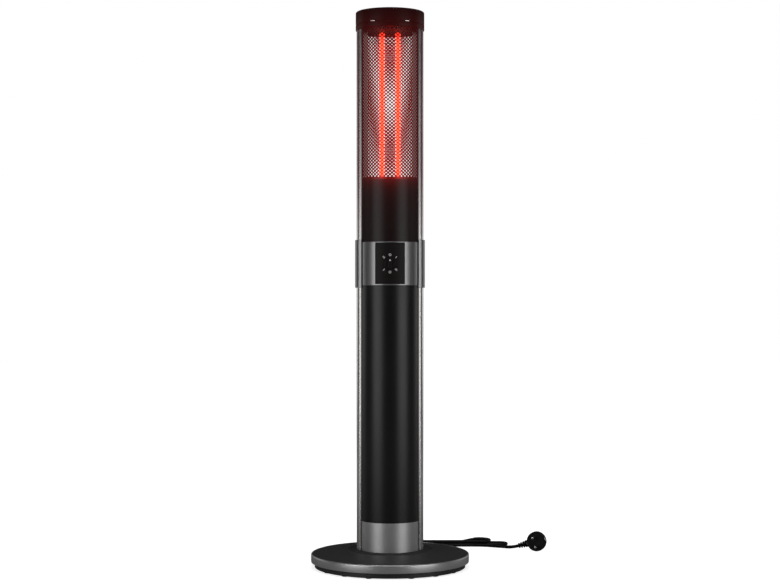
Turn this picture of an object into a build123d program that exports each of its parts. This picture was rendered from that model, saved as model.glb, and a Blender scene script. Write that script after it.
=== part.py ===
from build123d import *
from math import asin, cos, degrees, hypot, pi, radians, sin, sqrt, tan
import os

# An infrared patio heater tower: a round weighted base, a column of two post
# profiles closed by curved covers, a control collar with a rotary switch, and
# a see-through head with two upright lamps under a cap.
# Millimetres, +Z up, front towards -Y. The origin is on the floor, at the
# middle of the base.

# ---- driving dimensions: base ----
base_radius = 150.0
rim_bottom_z = 11.0
rim_height = 15.6
rim_wall = 2.8
rim_edge_radius = 2.4
rim_flange_width = 14.0
rim_flange = 2.0
tray_inset = 7.0
tray_wall = 3.0
tray_floor = 3.3
foot_radius = 6.5
foot_proud = 1.5
foot_height = 3.0
foot_inset = 7.5
feet_per_side = 8
foot_first_angle = 16.5
top_sheet = 2.0
dome_rise = 8.0
dome_edge_drop = 1.0
plateau_radius = 81.4
plateau_lip = 0.8
weight_inset = 20.0
weight_thickness = 15.0
hub_radius = 64.0
tray_screw_count = 6
tray_screw_radius = 2.0
tray_screw_head_radius = 3.6
tray_screw_head = 2.2
tray_boss_radius = 4.5
tray_boss_gap = 0.5
tray_screw_bite = 7.0
wire_channel = 14.0
wire_hole_radius = 12.0

# ---- driving dimensions: column ----
foot_plate = 6.0
foot_plate_bolt_pitch = 56.0
bolt_radius = 3.0
bolt_head_radius = 5.0
bolt_head = 6.0
bolt_seat_drop = 3.0
cover_radius = 57.5
cover_sheet = 1.5
cover_return = 9.0
post_inner_x = 41.8
post_outer_x = 63.3
post_depth = 42.0
post_corner = 13.0
post_inner_corner = 1.0
post_wall = 2.0
post_port_pitch = 22.0
post_port_radius = 4.0
post_port_bore = 2.0
post_web = 2.5
post_screw_radius = 1.95
post_screw_head_radius = 3.5
post_screw_head = 4.0
post_screw_length = 20.0
post_screw_seat = 7.0
joiner_length = 70.0
joiner_depth = 11.0
band_height = 55.2
lower_cover_height = 445.1
collar_height = 81.8
bulkhead = 4.0

# ---- driving dimensions: collar and control ----
collar_radius = 60.0
collar_sheet = 2.0
collar_half_width = 51.5
sleeve_wall = 2.7
sleeve_overhang = 4.3
sleeve_front_x = 53.9
core_half_depth = 46.0
core_wall = 3.0
core_end_gap = 3.0
fascia_width = 55.0
fascia_radius = 60.2
fascia_sheet = 2.4
fascia_lower_margin = 2.7
fascia_upper_margin = 2.1
knob_radius = 10.5
knob_length = 12.0
knob_skirt = 3.0
knob_grip_width = 7.0
knob_edge = 0.8
knob_shaft_depth = 8.0
shaft_radius = 3.0
bushing_radius = 5.0
bushing_proud = 1.0
shaft_depth = 2.0
shaft_end_room = 1.0
switch_nut_width = 14.0
switch_nut_height = 2.5
switch_width = 30.0
switch_height = 34.0
switch_depth = 22.0
collar_screw_pitch = 57.0
collar_screw_radius = 1.7
collar_screw_head_radius = 3.0
collar_screw_head = 1.8
collar_screw_recess = 1.0
collar_screw_length = 12.0
core_boss_radius = 4.5

# ---- driving dimensions: head ----
skirt_height = 119.9
lamp_zone_height = 278.3
guard_columns = 12
guard_rows = 26
guard_bar = 3.0
guard_margin = 4.6
lamp_plate = 3.0
lamp_half_pitch = 15.2
lamp_tube_radius = 5.6
lamp_tube_wall = 1.0
lamp_element_radius = 3.4
lamp_end_radius = 8.0
lamp_end_length = 16.0
lamp_end_grip = 6.0
cap_radius = 65.2
cap_above_lamps = 4.1
cap_side_height = 34.5
cap_crown = 1.7
cap_wall = 2.0
cap_edge_radius = 2.5
cap_groove_rise = 10.2
cap_groove = 0.9
cap_frame = 3.0
cap_head_room = 5.5
cap_boss_radius = 4.5
cap_boss_circle = 40.0
cap_boss_count = 3
cap_screw_radius = 1.5
cap_screw_head_radius = 3.0
cap_screw_head = 2.0
cap_screw_bite = 3.0

# ---- driving dimensions: tip-over switch, wiring ----
tip_y = -38.0
tip_width = 28.0
tip_depth = 22.0
tip_height = 20.0
tip_wall = 3.8
plunger_radius = 4.0
plunger_flange_radius = 6.0
plunger_flange = 2.0
plunger_travel = 4.0
spring_room = 6.0
spring_radius = 4.3
spring_wire = 0.8
spring_turns = 4
harness_radius = 4.0
harness_y = 18.0
terminal_width = 30.0
terminal_depth = 16.0
terminal_height = 18.0
cutout_width = 16.0
cutout_depth = 10.0
cutout_height = 8.0
cutout_y = 30.0

# ---- driving dimensions: cord and plug ----
cord_radius = 3.25
cord_behind = 95.3
loop_depth = 34.7
gland_body_radius = 4.6
gland_flange_radius = 5.8
gland_flange = 2.0
gland_inside = 7.0
relief_length = 33.0
relief_root_radius = 5.4
relief_tip_radius = 4.0
plug_radius = 19.8
plug_x = 294.0
plug_behind = 34.0
plug_face_depth = 9.0
plug_back_depth = 14.0
plug_back_radius = 15.5
plug_edge = 0.8
plug_turn = 20.0
plug_tilt = 17.0
plug_neck_depth = 13.0
plug_neck_radius = 7.0
plug_neck_reach = 25.0
plug_relief_reach = 41.0
plug_relief_radius = 6.0
pin_radius = 2.4
pin_length = 19.0
pin_pitch = 19.0
pin_seat = 6.0
pin_root_radius = 2.2
pin_root_neck = 0.5
earth_clip_width = 6.0
earth_clip = 1.0
earth_clip_length = 7.0

# ---- named clearances ----
slip = 0.1
screw_slack = 0.2
edge_gap = 0.3
shaft_slack = 0.08
hole_slack = 0.4
strand_gap = 0.45
cut_past = 3.0

# ---- sizes that follow ----
tray_top = rim_bottom_z
tray_radius = base_radius - tray_inset
foot_circle = tray_radius - foot_inset
weight_radius = base_radius - weight_inset
rim_top = rim_bottom_z + rim_height
floor_top = foot_proud + tray_floor
flange_top = rim_bottom_z + rim_flange
skirt_radius = base_radius - rim_wall - slip
dome_edge_z = rim_top - dome_edge_drop
plateau_z = dome_edge_z + dome_rise + plateau_lip
hub_top = plateau_z - top_sheet
band_top_z = plateau_z + band_height
collar_bottom_z = band_top_z + lower_cover_height
bulkhead_lower_z = band_top_z - bulkhead / 2
bulkhead_middle_z = (band_top_z + collar_bottom_z) / 2
screw_seat_z = hub_top - post_screw_seat
collar_top = collar_bottom_z + collar_height
collar_mid = collar_bottom_z + collar_height / 2
lamp_zone_bottom = collar_top + skirt_height
lamp_zone_top = lamp_zone_bottom + lamp_zone_height
cap_bottom_z = lamp_zone_top + cap_above_lamps
cap_side_top = cap_bottom_z + cap_side_height
cap_groove_z = cap_bottom_z + cap_groove_rise
cover_inner = cover_radius - cover_sheet
face_y = post_depth / 2
port_x = (post_inner_x + post_outer_x) / 2
inside_x = post_inner_x - slip
inside_radius = cover_inner - edge_gap
cap_ceiling = cap_side_top - cap_wall
post_top = cap_ceiling - cap_head_room - cap_frame
fascia_bottom = collar_bottom_z + fascia_lower_margin
fascia_top = collar_top - fascia_upper_margin
core_bottom = collar_bottom_z + core_end_gap
core_top = collar_top - core_end_gap
knob_back = fascia_radius + edge_gap
gland_z = (rim_bottom_z + rim_top) / 2
nut_front = core_half_depth + switch_nut_height


def disc(radius, bottom, top, x=0.0, y=0.0):
    """An upright cylinder between two heights."""
    low = Align.MIN
    return Pos(x, y, bottom) * Cylinder(radius, top - bottom, align=(Align.CENTER, Align.CENTER, low))


def slab(width, depth, bottom, top, x=0.0, y=0.0):
    """An upright box between two heights."""
    low = Align.MIN
    return Pos(x, y, bottom) * Box(width, depth, top - bottom, align=(Align.CENTER, Align.CENTER, low))


def rod_y(radius, start, end, x, z):
    """A cylinder along Y between two depths."""
    length = abs(end - start)
    return Pos(x, (start + end) / 2, z) * Rot(90, 0, 0) * Cylinder(radius, length)


def around(count, radius, first=0.0):
    """Places evenly spaced on a circle about the origin."""
    step = 2 * pi / count
    return [(radius * cos(first + i * step), radius * sin(first + i * step)) for i in range(count)]


def upright(sketch, bottom, top):
    """A flat outline pulled up between two heights."""
    return Pos(0, 0, bottom) * extrude(sketch, top - bottom)


def both_ports():
    """The four screw ports of the two posts, seen from above."""
    half = post_port_pitch / 2
    return [(side * port_x, end * half) for side in (-1, 1) for end in (-1, 1)]


def join(pieces):
    """One node out of several solids that don't touch."""
    return Compound(children=[piece.solid() if hasattr(piece, "solid") else piece for piece in pieces])


def rear(piece):
    """The same piece turned to the back of the tower."""
    return Rot(0, 0, 180) * piece


# ---- base ----
def make_tray():
    """The black plastic underside, with a recess for each foot."""
    tray = disc(tray_radius, foot_proud, tray_top) - disc(tray_radius - tray_wall, floor_top, tray_top)
    for x, y in around(tray_screw_count, screw_circle):
        tray += disc(tray_boss_radius, floor_top, tray_top, x, y)
    for x, y in around(tray_screw_count, screw_circle):
        tray -= disc(tray_screw_radius + screw_slack, foot_proud, tray_top, x, y)
        tray -= disc(tray_screw_head_radius + screw_slack, foot_proud, foot_proud + tray_screw_head, x, y)
    for x, y in feet_places():
        tray -= disc(foot_radius + screw_slack, foot_proud, foot_height, x, y)
    tray -= disc(plunger_radius + hole_slack, foot_proud, floor_top, 0, tip_y)
    return tray


def feet_places():
    """The feet run round both sides, with wider gaps in front and behind."""
    step = (180 - 2 * foot_first_angle) / (feet_per_side - 1)
    angles = [radians(foot_first_angle + i * step) for i in range(feet_per_side)]
    return [(side * foot_circle * sin(a), -foot_circle * cos(a)) for side in (-1, 1) for a in angles]


def make_feet():
    """Rubber pads, each with a rounded lower edge."""
    pad = disc(foot_radius, 0, foot_height)
    pad = fillet(pad.edges().group_by(Axis.Z)[0], foot_proud / 2)
    return join([Pos(x, y, 0) * pad for x, y in feet_places()])


def make_weight():
    """The cast-iron disc, with a hub that carries the column."""
    low = floor_top + weight_thickness
    weight = disc(weight_radius, floor_top, low) + disc(hub_radius, low, hub_top)
    weight -= disc(wire_hole_radius, floor_top, hub_top)
    channel = weight_radius + wire_channel
    weight -= slab(wire_channel, channel, floor_top, gland_z + wire_channel / 2, 0, channel / 2)
    pocket_top = floor_top + tip_height + edge_gap
    weight -= slab(tip_width + 2 * edge_gap, tip_depth + 2 * edge_gap, floor_top, pocket_top, 0, tip_y)
    for x, y in both_ports():
        weight -= disc(post_screw_radius + screw_slack, floor_top, hub_top, x, y)
        weight -= disc(post_screw_head_radius + edge_gap, floor_top, screw_seat_z, x, y)
    for x, y in bolt_places():
        weight -= disc(bolt_radius + screw_slack, floor_top, hub_top, x, y)
        weight -= disc(bolt_head_radius + edge_gap, floor_top, bolt_seat_z, x, y)
    return weight


def make_rim():
    """The silver ring, an L in section with a rounded upper edge."""
    ring = disc(base_radius, rim_bottom_z, rim_top)
    ring = fillet(ring.edges().group_by(Axis.Z)[-1], rim_edge_radius)
    ring -= disc(base_radius - rim_wall, flange_top, rim_top)
    ring -= disc(base_radius - rim_wall - rim_flange_width, rim_bottom_z, flange_top)
    for x, y in around(tray_screw_count, screw_circle):
        ring -= disc(tray_screw_radius + screw_slack, rim_bottom_z, flange_top, x, y)
    return ring - rod_y(gland_body_radius + slip, base_radius - rim_wall - 1, base_radius + 1, 0, gland_z)


def ball_arc(start, end):
    """An arc of a ball whose middle is on the axis, between two outline points."""
    (r1, z1), (r2, z2) = start, end
    centre = (r2**2 - r1**2 + z2**2 - z1**2) / (2 * (z2 - z1))
    ball = hypot(r1, z1 - centre)
    middle = (r1 + r2) / 2
    return ThreePointArc(start, (middle, centre + sqrt(ball**2 - middle**2)), end)


def dome_profile(drop, edge):
    """Half the dome's outline, lowered by drop, out to the radius edge."""
    flat = plateau_z - drop
    lip = (plateau_radius, flat - plateau_lip)
    low = (edge, flat - plateau_lip - dome_rise)
    outline = Polyline((0, 0), (0, flat), (plateau_radius - plateau_lip, flat), lip)
    slope = ball_arc(lip, low)
    rest = Polyline(low, (edge, 0), (0, 0))
    return Plane.XZ * make_face(outline + slope + rest)


def make_top():
    """The black domed sheet with a flat middle and a skirt inside the rim."""
    solid = revolve(dome_profile(0, skirt_radius), Axis.Z)
    hollow = revolve(dome_profile(top_sheet, skirt_radius - top_sheet), Axis.Z)
    top = solid - hollow - disc(base_radius, 0, flange_top)
    for x, y in around(tray_screw_count, screw_circle):
        boss = disc(tray_boss_radius, flange_top, plateau_z, x, y) & solid
        top += boss
    for x, y in around(tray_screw_count, screw_circle):
        top -= disc(tray_screw_radius, flange_top, tray_screw_top, x, y)
    top -= disc(wire_hole_radius, hub_top - 1, plateau_z)
    for x, y in both_ports():
        top -= disc(post_screw_radius + screw_slack, hub_top - 1, plateau_z, x, y)
    for x, y in bolt_places():
        top -= disc(bolt_radius + screw_slack, hub_top - 1, plateau_z, x, y)
    return top - rod_y(gland_flange_radius + edge_gap, skirt_radius - gland_inside, base_radius, 0, gland_z)


def bolt_places():
    """The four bolts that hold the foot plate."""
    half = foot_plate_bolt_pitch / 2
    return [(x * half, y * half) for x in (-1, 1) for y in (-1, 1)]


def make_tray_screws():
    """Screws up through the tray and the rim into the dome's bosses."""
    screw = disc(tray_screw_head_radius, foot_proud, foot_proud + tray_screw_head)
    screw += disc(tray_screw_radius - slip, foot_proud, tray_screw_top - edge_gap)
    return join([Pos(x, y, 0) * screw for x, y in around(tray_screw_count, screw_circle)])


screw_circle = base_radius - rim_wall - rim_flange_width + tray_boss_radius + tray_boss_gap
tray_screw_top = flange_top + tray_screw_bite
bolt_seat_z = screw_seat_z - bolt_seat_drop


# ---- column ----
def post_outline(inset):
    """The right-hand post in plan: a box with two large outer corners."""
    width = post_outer_x - post_inner_x - 2 * inset
    outline = Pos(port_x, 0) * Rectangle(width, post_depth - 2 * inset)
    outer = outline.vertices().group_by(Axis.X)[-1]
    outline = fillet(outer, post_corner - inset)
    inner = outline.vertices().group_by(Axis.X)[0]
    return fillet(inner, post_inner_corner)


def post_section():
    """A hollow extrusion with two screw ports on webs."""
    half = post_port_pitch / 2
    cavity = post_outline(post_wall)
    web_width = post_outer_x - post_inner_x - post_wall
    for y in (-half, half):
        cavity -= Pos(port_x, y) * Rectangle(web_width, post_web)
        cavity -= Pos(port_x, y) * Circle(post_port_radius)
    section = post_outline(0) - cavity
    for y in (-half, half):
        section -= Pos(port_x, y) * Circle(post_port_bore)
    return section


def make_post(bottom, top, side):
    """One length of post; side -1 is the left one, seen from the front."""
    post = upright(post_section(), bottom, top)
    return post if side > 0 else rear(post)


def make_joiner(side):
    """The bar inside a post that joins its two lengths."""
    width = post_outer_x - post_inner_x - 2 * post_wall - 2 * slip
    low = collar_mid - joiner_length / 2
    return slab(width, joiner_depth, low, low + joiner_length, side * port_x)


def shell_outline(radius, sheet, half_width, seat):
    """A front cover in plan: an arc that ends on the posts, with returns.

    half_width is where the arc ends and seat is how far in front of the
    posts' faces the cover stops.
    """
    front = face_y + seat
    far = radius + 1
    arc = Circle(radius) - Circle(radius - sheet)
    keep = Pos(0, -(front + far) / 2) * Rectangle(2 * half_width, far - front)
    arc = arc & keep
    reach = cover_return + sheet
    edge = min(half_width, sqrt(radius**2 - front**2)) - sheet / 2
    back = front + sheet
    for side in (-1, 1):
        arc += Pos(side * (edge - reach / 2), -(front + sheet / 2)) * Rectangle(reach, sheet)
        side_x = side * (half_width - sheet / 2)
        arc_y = sqrt(radius**2 - half_width**2) if half_width < radius else back
        if arc_y > back:
            arc += Pos(side_x, -(front + arc_y) / 2) * Rectangle(sheet, arc_y - front)
    return arc


def make_cover(bottom, top):
    """A curved cover over the open front of the column."""
    return upright(shell_outline(cover_radius, cover_sheet, cover_half_width, edge_gap), bottom, top)


def make_guard():
    """A cover that is open in a plain grid in front of the lamps."""
    half_angle = degrees(asin(cover_half_width / cover_radius) - guard_margin / cover_radius)
    turn = 2 * half_angle / guard_columns
    rise = (cap_bottom_z - lamp_zone_bottom) / guard_rows
    width = cover_radius * radians(turn) - guard_bar
    opening = Pos(0, -cover_radius + cover_sheet / 2, 0) * Box(width, 2 * cover_sheet, rise - guard_bar)
    openings = []
    for column in range(guard_columns):
        angle = (column + 0.5) * turn - half_angle
        for row in range(guard_rows):
            openings.append(Rot(0, 0, angle) * Pos(0, 0, lamp_zone_bottom + (row + 0.5) * rise) * opening)
    return make_cover(collar_top, post_top) - openings


def inside_plate(bottom, top):
    """A plate that fills the column between the posts and the covers."""
    outline = Circle(inside_radius) & Rectangle(2 * inside_x, 2 * inside_radius)
    plate = upright(outline, bottom, top)
    for side in (-1, 1):
        for end in (-1, 1):
            notch_x = side * inside_x
            notch_y = end * (face_y + cover_sheet / 2 + edge_gap)
            plate -= slab(2 * cover_notch, cover_sheet + 2 * edge_gap, bottom, top, notch_x, notch_y)
    return plate


def make_foot_plate():
    """The plate on the base that the column stands round."""
    plate = inside_plate(plateau_z, plateau_z + foot_plate)
    plate -= disc(wire_hole_radius, plateau_z, plateau_z + foot_plate)
    for x, y in bolt_places():
        plate -= disc(bolt_radius, plateau_z, plateau_z + foot_plate, x, y)
    return plate


def make_bolts():
    """Bolts from under the weight up into the foot plate."""
    bolt = disc(bolt_head_radius, bolt_seat_z - bolt_head, bolt_seat_z)
    bolt += disc(bolt_radius - slip, bolt_seat_z, plateau_z + foot_plate - edge_gap)
    return join([Pos(x, y, 0) * bolt for x, y in bolt_places()])


def make_post_screws():
    """Eight like screws: four up into the posts, four down into them."""
    screws = []
    for x, y in both_ports():
        head = disc(post_screw_head_radius, screw_seat_z - post_screw_head, screw_seat_z, x, y)
        screws.append(head + disc(post_screw_radius, screw_seat_z, screw_seat_z + post_screw_length, x, y))
        seat = post_top + cap_frame
        head = disc(post_screw_head_radius, seat, seat + post_screw_head, x, y)
        screws.append(head + disc(post_screw_radius, seat - post_screw_length, seat, x, y))
    return join(screws)


def make_bulkhead(bottom):
    """A stiffening plate with a hole that holds the wiring."""
    plate = inside_plate(bottom, bottom + bulkhead)
    return plate - disc(harness_radius + slip, bottom, bottom + bulkhead, 0, harness_y)


cover_half_width = sqrt(cover_radius**2 - (face_y + edge_gap) ** 2)
cover_notch = cover_return - (cover_half_width - cover_sheet / 2 - post_inner_x) + 2 * cover_sheet


# ---- collar and control ----
def collar_seat():
    """The gap from a post's face to the collar's shells."""
    return sleeve_wall + slip + edge_gap


def make_collar_shell():
    """The silver front of the collar, before its window is cut."""
    outline = shell_outline(collar_radius, collar_sheet, collar_half_width, collar_seat())
    return upright(outline, collar_bottom_z, collar_top)


def fascia_block(radius, sheet, width, bottom, top):
    """A piece of a curved sheet at the front, of a given width."""
    arc = (Circle(radius) - Circle(radius - sheet)) & Pos(0, -radius) * Rectangle(width, radius)
    return upright(arc, bottom, top)


def make_collar_front():
    """The front shell with a window for the fascia."""
    window = fascia_width + 2 * slip
    cut = fascia_block(radius_over, window_depth, window, fascia_bottom - slip, fascia_top + slip)
    return make_collar_shell() - cut


def make_collar_rear():
    """The plain rear shell, held by two screws."""
    shell = rear(make_collar_shell())
    seat = collar_radius - collar_screw_recess
    for z in collar_screw_heights():
        shell -= rod_y(collar_screw_radius + screw_slack, core_half_depth, radius_over, 0, z)
        shell -= rod_y(collar_screw_head_radius + screw_slack, seat, radius_over, 0, z)
    return shell


def collar_screw_heights():
    """The heights of the rear screws."""
    return [collar_mid - collar_screw_pitch / 2, collar_mid + collar_screw_pitch / 2]


def make_sleeve(side):
    """A cast sleeve that wraps the outside of a post over its joint."""
    ring = post_outline(-sleeve_wall - slip) - post_outline(-slip)
    wide = post_outer_x + 2 * sleeve_wall
    keep = Pos((sleeve_front_x + wide) / 2, 0) * Rectangle(wide - sleeve_front_x, 2 * post_depth)
    sleeve = upright(ring & keep, collar_bottom_z - sleeve_overhang, collar_top + sleeve_overhang)
    return sleeve if side > 0 else rear(sleeve)


def make_core():
    """The moulded control box between the posts, inside the collar."""
    outer = Circle(collar_radius - collar_sheet - edge_gap)
    outer = outer & Rectangle(2 * inside_x, 2 * core_half_depth)
    inner = Rectangle(2 * (inside_x - core_wall), 2 * (core_half_depth - core_wall))
    inner = inner & Circle(collar_radius - collar_sheet - edge_gap - core_wall)
    core = upright(outer - inner, core_bottom, core_top)
    core -= core_notches()
    for z in collar_screw_heights():
        core += rod_y(core_boss_radius, core_half_depth - core_wall, rear_inner - edge_gap, 0, z)
        core -= rod_y(collar_screw_radius, core_half_depth - 2 * core_wall, collar_radius, 0, z)
    for z in (fascia_bottom, fascia_top):
        inward = 1 if z < collar_mid else -1
        place = z + inward * (core_boss_radius + core_end_gap)
        core += rod_y(core_boss_radius, -(core_half_depth - core_wall), -(fascia_back - edge_gap), 0, place)
    return core - rod_y(bushing_radius + slip, -(core_half_depth + 1), 0, 0, collar_mid)


def core_notches():
    """Room for the inward returns of the collar's shells."""
    front = face_y + collar_seat()
    reach = collar_half_width
    notches = []
    for side in (-1, 1):
        for end in (-1, 1):
            y = end * (front + collar_sheet / 2)
            inner_end = collar_half_width - cover_return - 1.5 * collar_sheet - edge_gap
            width = reach - inner_end
            x = side * (inner_end + width / 2)
            notches.append(slab(width, collar_sheet + 2 * edge_gap, core_bottom, core_top, x, y))
    return notches


def make_fascia():
    """The glossy black control panel."""
    panel = fascia_block(fascia_radius, fascia_sheet, fascia_width, fascia_bottom, fascia_top)
    return panel - rod_y(shaft_radius + hole_slack, -(fascia_radius + 1), -fascia_back + 1, 0, collar_mid)


def make_knob():
    """A round knob with a raised grip bar and a bore for the shaft."""
    skirt = rod_y(knob_radius, -knob_back, -(knob_back + knob_skirt), 0, collar_mid)
    body = rod_y(knob_radius - knob_edge, -knob_back, -(knob_back + knob_length), 0, collar_mid)
    half = knob_back + knob_length / 2
    bar = Pos(0, -half, collar_mid) * Box(knob_grip_width, knob_length, 2 * knob_radius)
    low = rod_y(knob_radius - knob_edge, -knob_back, -half, 0, collar_mid)
    knob = skirt + low + (body & bar)
    front = knob.faces().sort_by(Axis.Y)[0].edges()
    knob = fillet(front, knob_edge)
    knob -= rod_y(shaft_radius, -knob_back, -(knob_back + knob_shaft_depth), 0, collar_mid)
    return knob


def make_shaft():
    """The switch's shaft, from inside its bushing into the knob."""
    start = core_half_depth - shaft_depth
    end = knob_back + knob_shaft_depth - slip
    return rod_y(shaft_radius - slip, -start, -end, 0, collar_mid)


def make_switch():
    """The rotary switch: a box behind the core's front wall and a bushing."""
    back = core_half_depth - core_wall - slip
    body = Pos(0, -(back - switch_depth / 2), collar_mid) * Box(switch_width, switch_depth, switch_height)
    body += rod_y(bushing_radius, -(back - 1), -(nut_front + bushing_proud), 0, collar_mid)
    bore = shaft_radius - slip + shaft_slack
    bore_end = core_half_depth - shaft_depth - shaft_end_room
    return body - rod_y(bore, -bore_end, -(nut_front + bushing_proud + 1), 0, collar_mid)


def make_nut():
    """The hexagon nut that holds the switch to the core."""
    outline = RegularPolygon(switch_nut_width / 2, 6, major_radius=False) - Circle(bushing_radius + slip / 2)
    place = Plane(origin=(0, -core_half_depth, collar_mid), x_dir=(1, 0, 0), z_dir=(0, -1, 0))
    return place * extrude(outline, switch_nut_height)


def make_collar_screws():
    """The two screws of the rear shell."""
    screws = []
    for z in collar_screw_heights():
        head_back = collar_radius - collar_screw_recess + slip
        head = rod_y(collar_screw_head_radius, head_back, head_back + collar_screw_head, 0, z)
        shank = rod_y(collar_screw_radius - slip, head_back - collar_screw_length, head_back + 1, 0, z)
        screws.append(head + shank)
    return join(screws)


radius_over = collar_radius + cut_past
window_depth = radius_over - (collar_radius - 2 * collar_sheet)
rear_inner = sqrt((collar_radius - collar_sheet) ** 2 - core_boss_radius**2)
fascia_back = sqrt((fascia_radius - fascia_sheet) ** 2 - core_boss_radius**2)


# ---- head ----
def make_lamp_plate(bottom):
    """A plate across the head that holds one end of the lamps."""
    plate = inside_plate(bottom, bottom + lamp_plate)
    for side in (-1, 1):
        plate -= disc(lamp_tube_radius + slip, bottom, bottom + lamp_plate, side * lamp_half_pitch)
    if bottom < lamp_zone_bottom:
        plate -= disc(harness_radius + slip, bottom, bottom + lamp_plate, 0, harness_y)
    return plate


def make_lamp_tube(side):
    """A quartz tube that passes both plates into its ceramic ends."""
    low = lamp_zone_bottom - lamp_plate - lamp_end_grip
    high = lamp_zone_top + lamp_plate + lamp_end_grip
    tube = disc(lamp_tube_radius, low, high, side * lamp_half_pitch)
    return tube - disc(lamp_tube_radius - lamp_tube_wall, low, high, side * lamp_half_pitch)


def make_lamp_element(side):
    """The carbon element inside a tube."""
    low = lamp_zone_bottom - lamp_plate - lamp_end_grip
    high = lamp_zone_top + lamp_plate + lamp_end_grip
    return disc(lamp_element_radius, low, high, side * lamp_half_pitch)


def make_lamp_ends():
    """The four ceramic ends, each with a socket for its tube."""
    ends = []
    for side in (-1, 1):
        x = side * lamp_half_pitch
        low = lamp_zone_bottom - lamp_plate
        end = disc(lamp_end_radius, low - lamp_end_length, low, x)
        ends.append(end - disc(lamp_tube_radius + slip, low - lamp_end_grip, low, x))
        high = lamp_zone_top + lamp_plate
        end = disc(lamp_end_radius, high, high + lamp_end_length, x)
        ends.append(end - disc(lamp_tube_radius + slip, high, high + lamp_end_grip, x))
    return join(ends)


def make_cutout():
    """The thermal cut-out on the upper lamp plate."""
    low = lamp_zone_top + lamp_plate
    return slab(cutout_width, cutout_depth, low, low + cutout_height, 0, cutout_y)


def make_cap_frame():
    """The plate on top of the posts that carries the cap."""
    outline = Circle(cap_radius - cap_wall - edge_gap)
    frame = upright(outline, post_top, post_top + cap_frame)
    for x, y in both_ports():
        frame -= disc(post_screw_radius + screw_slack, post_top, post_top + cap_frame, x, y)
    for x, y in around(cap_boss_count, cap_boss_circle, pi / 2):
        frame -= disc(cap_screw_radius + screw_slack, post_top, post_top + cap_frame, x, y)
    return frame


def cap_profile():
    """Half the cap's outline, with a fine groove round its side."""
    low = cap_bottom_z
    groove = cap_groove
    edge = cap_radius - cap_edge_radius
    turn = cap_edge_radius * (1 - sqrt(0.5))
    side = Polyline(
        (0, low),
        (cap_radius, low),
        (cap_radius, cap_groove_z - groove),
        (cap_radius - groove, cap_groove_z),
        (cap_radius, cap_groove_z + groove),
        (cap_radius, cap_side_top - cap_edge_radius),
    )
    corner = ThreePointArc(
        (cap_radius, cap_side_top - cap_edge_radius),
        (cap_radius - turn, cap_side_top - turn),
        (edge, cap_side_top),
    )
    crown = ball_arc((edge, cap_side_top), (0, cap_side_top + cap_crown))
    axis = Line((0, cap_side_top + cap_crown), (0, low))
    return Plane.XZ * make_face(side + corner + crown + axis)


def make_cap():
    """The cap: a shallow lid with three bosses for its screws."""
    cap = revolve(cap_profile(), Axis.Z)
    cap -= disc(cap_radius - cap_wall, cap_bottom_z, cap_ceiling)
    right_post = upright(post_outline(-slip), cap_bottom_z, post_top)
    cap = cap - right_post - rear(right_post)
    for x, y in around(cap_boss_count, cap_boss_circle, pi / 2):
        cap += disc(cap_boss_radius, post_top + cap_frame, cap_ceiling, x, y)
        cap -= disc(cap_screw_radius + slip / 2, post_top, cap_ceiling - slip, x, y)
    return cap


def make_cap_screws():
    """Screws up through the frame into the cap."""
    screw = disc(cap_screw_head_radius, post_top - cap_screw_head, post_top)
    screw += disc(cap_screw_radius, post_top, post_top + cap_frame + cap_screw_bite)
    return join([Pos(x, y, 0) * screw for x, y in around(cap_boss_count, cap_boss_circle, pi / 2)])


# ---- tip-over switch and wiring ----
def make_tip_body():
    """The tip-over switch's housing, open below for the plunger."""
    body = slab(tip_width, tip_depth, floor_top, floor_top + tip_height, 0, tip_y)
    body -= disc(plunger_radius + shaft_slack, floor_top, floor_top + tip_wall, 0, tip_y)
    return body - disc(plunger_flange_radius + hole_slack, floor_top + tip_wall, spring_top, 0, tip_y)


def make_plunger():
    """The plunger, pressed in by the floor when the heater stands."""
    pin = disc(plunger_radius, 0, flange_low, 0, tip_y)
    pin = fillet(pin.edges().group_by(Axis.Z)[0], plunger_radius / 4)
    return pin + disc(plunger_flange_radius, flange_low, flange_low + plunger_flange, 0, tip_y)


def make_spring():
    """The plunger's compression spring, a helix of half-turn arcs."""
    low = flange_low + plunger_flange + spring_wire / 2 + slip
    high = spring_top - spring_wire / 2 - slip
    steps = 4 * spring_turns
    stations = []
    for i in range(steps + 1):
        turn = i * pi / 2
        rise = (high - low) * i / steps
        slope = (high - low) / (steps * spring_radius * pi / 2)
        place = Vector(spring_radius * cos(turn), tip_y + spring_radius * sin(turn), low + rise)
        stations.append((place, Vector(-sin(turn), cos(turn), slope).normalized()))
    return tube_along(smooth_path(stations), spring_wire / 2)


def make_terminal():
    """The terminal block on the foot plate."""
    low = plateau_z + foot_plate
    return slab(terminal_width, terminal_depth, low, low + terminal_height, 0, harness_y)


def make_harness():
    """The lead bundle from the terminal block up to the lower lamp plate."""
    low = plateau_z + foot_plate + terminal_height
    return disc(harness_radius, low, lamp_zone_bottom, 0, harness_y)


flange_low = floor_top + tip_wall + plunger_travel + edge_gap
spring_top = flange_low + plunger_flange + spring_room


# ---- cord ----
def biarc(start, leave, end, arrive):
    """Two tangent arcs, or a line, from one place and heading to the next."""
    chord = end - start
    if chord.cross(leave).length < 1e-6 and leave.get_angle(arrive) < 1e-4:
        return [Edge.make_line(start, end)]
    both = leave + arrive
    spread = 2 * (1 - leave.dot(arrive))
    if spread < 1e-9:
        reach = chord.dot(chord) / (4 * chord.dot(leave))
    else:
        along = chord.dot(both)
        reach = (sqrt(along**2 + spread * chord.dot(chord)) - along) / spread
    middle = (start + leave * reach + end - arrive * reach) * 0.5
    heading = (end - arrive * reach) - (start + leave * reach)
    heading = heading.normalized()
    return [Edge.make_tangent_arc(start, leave, middle), Edge.make_tangent_arc(middle, heading, end)]


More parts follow.
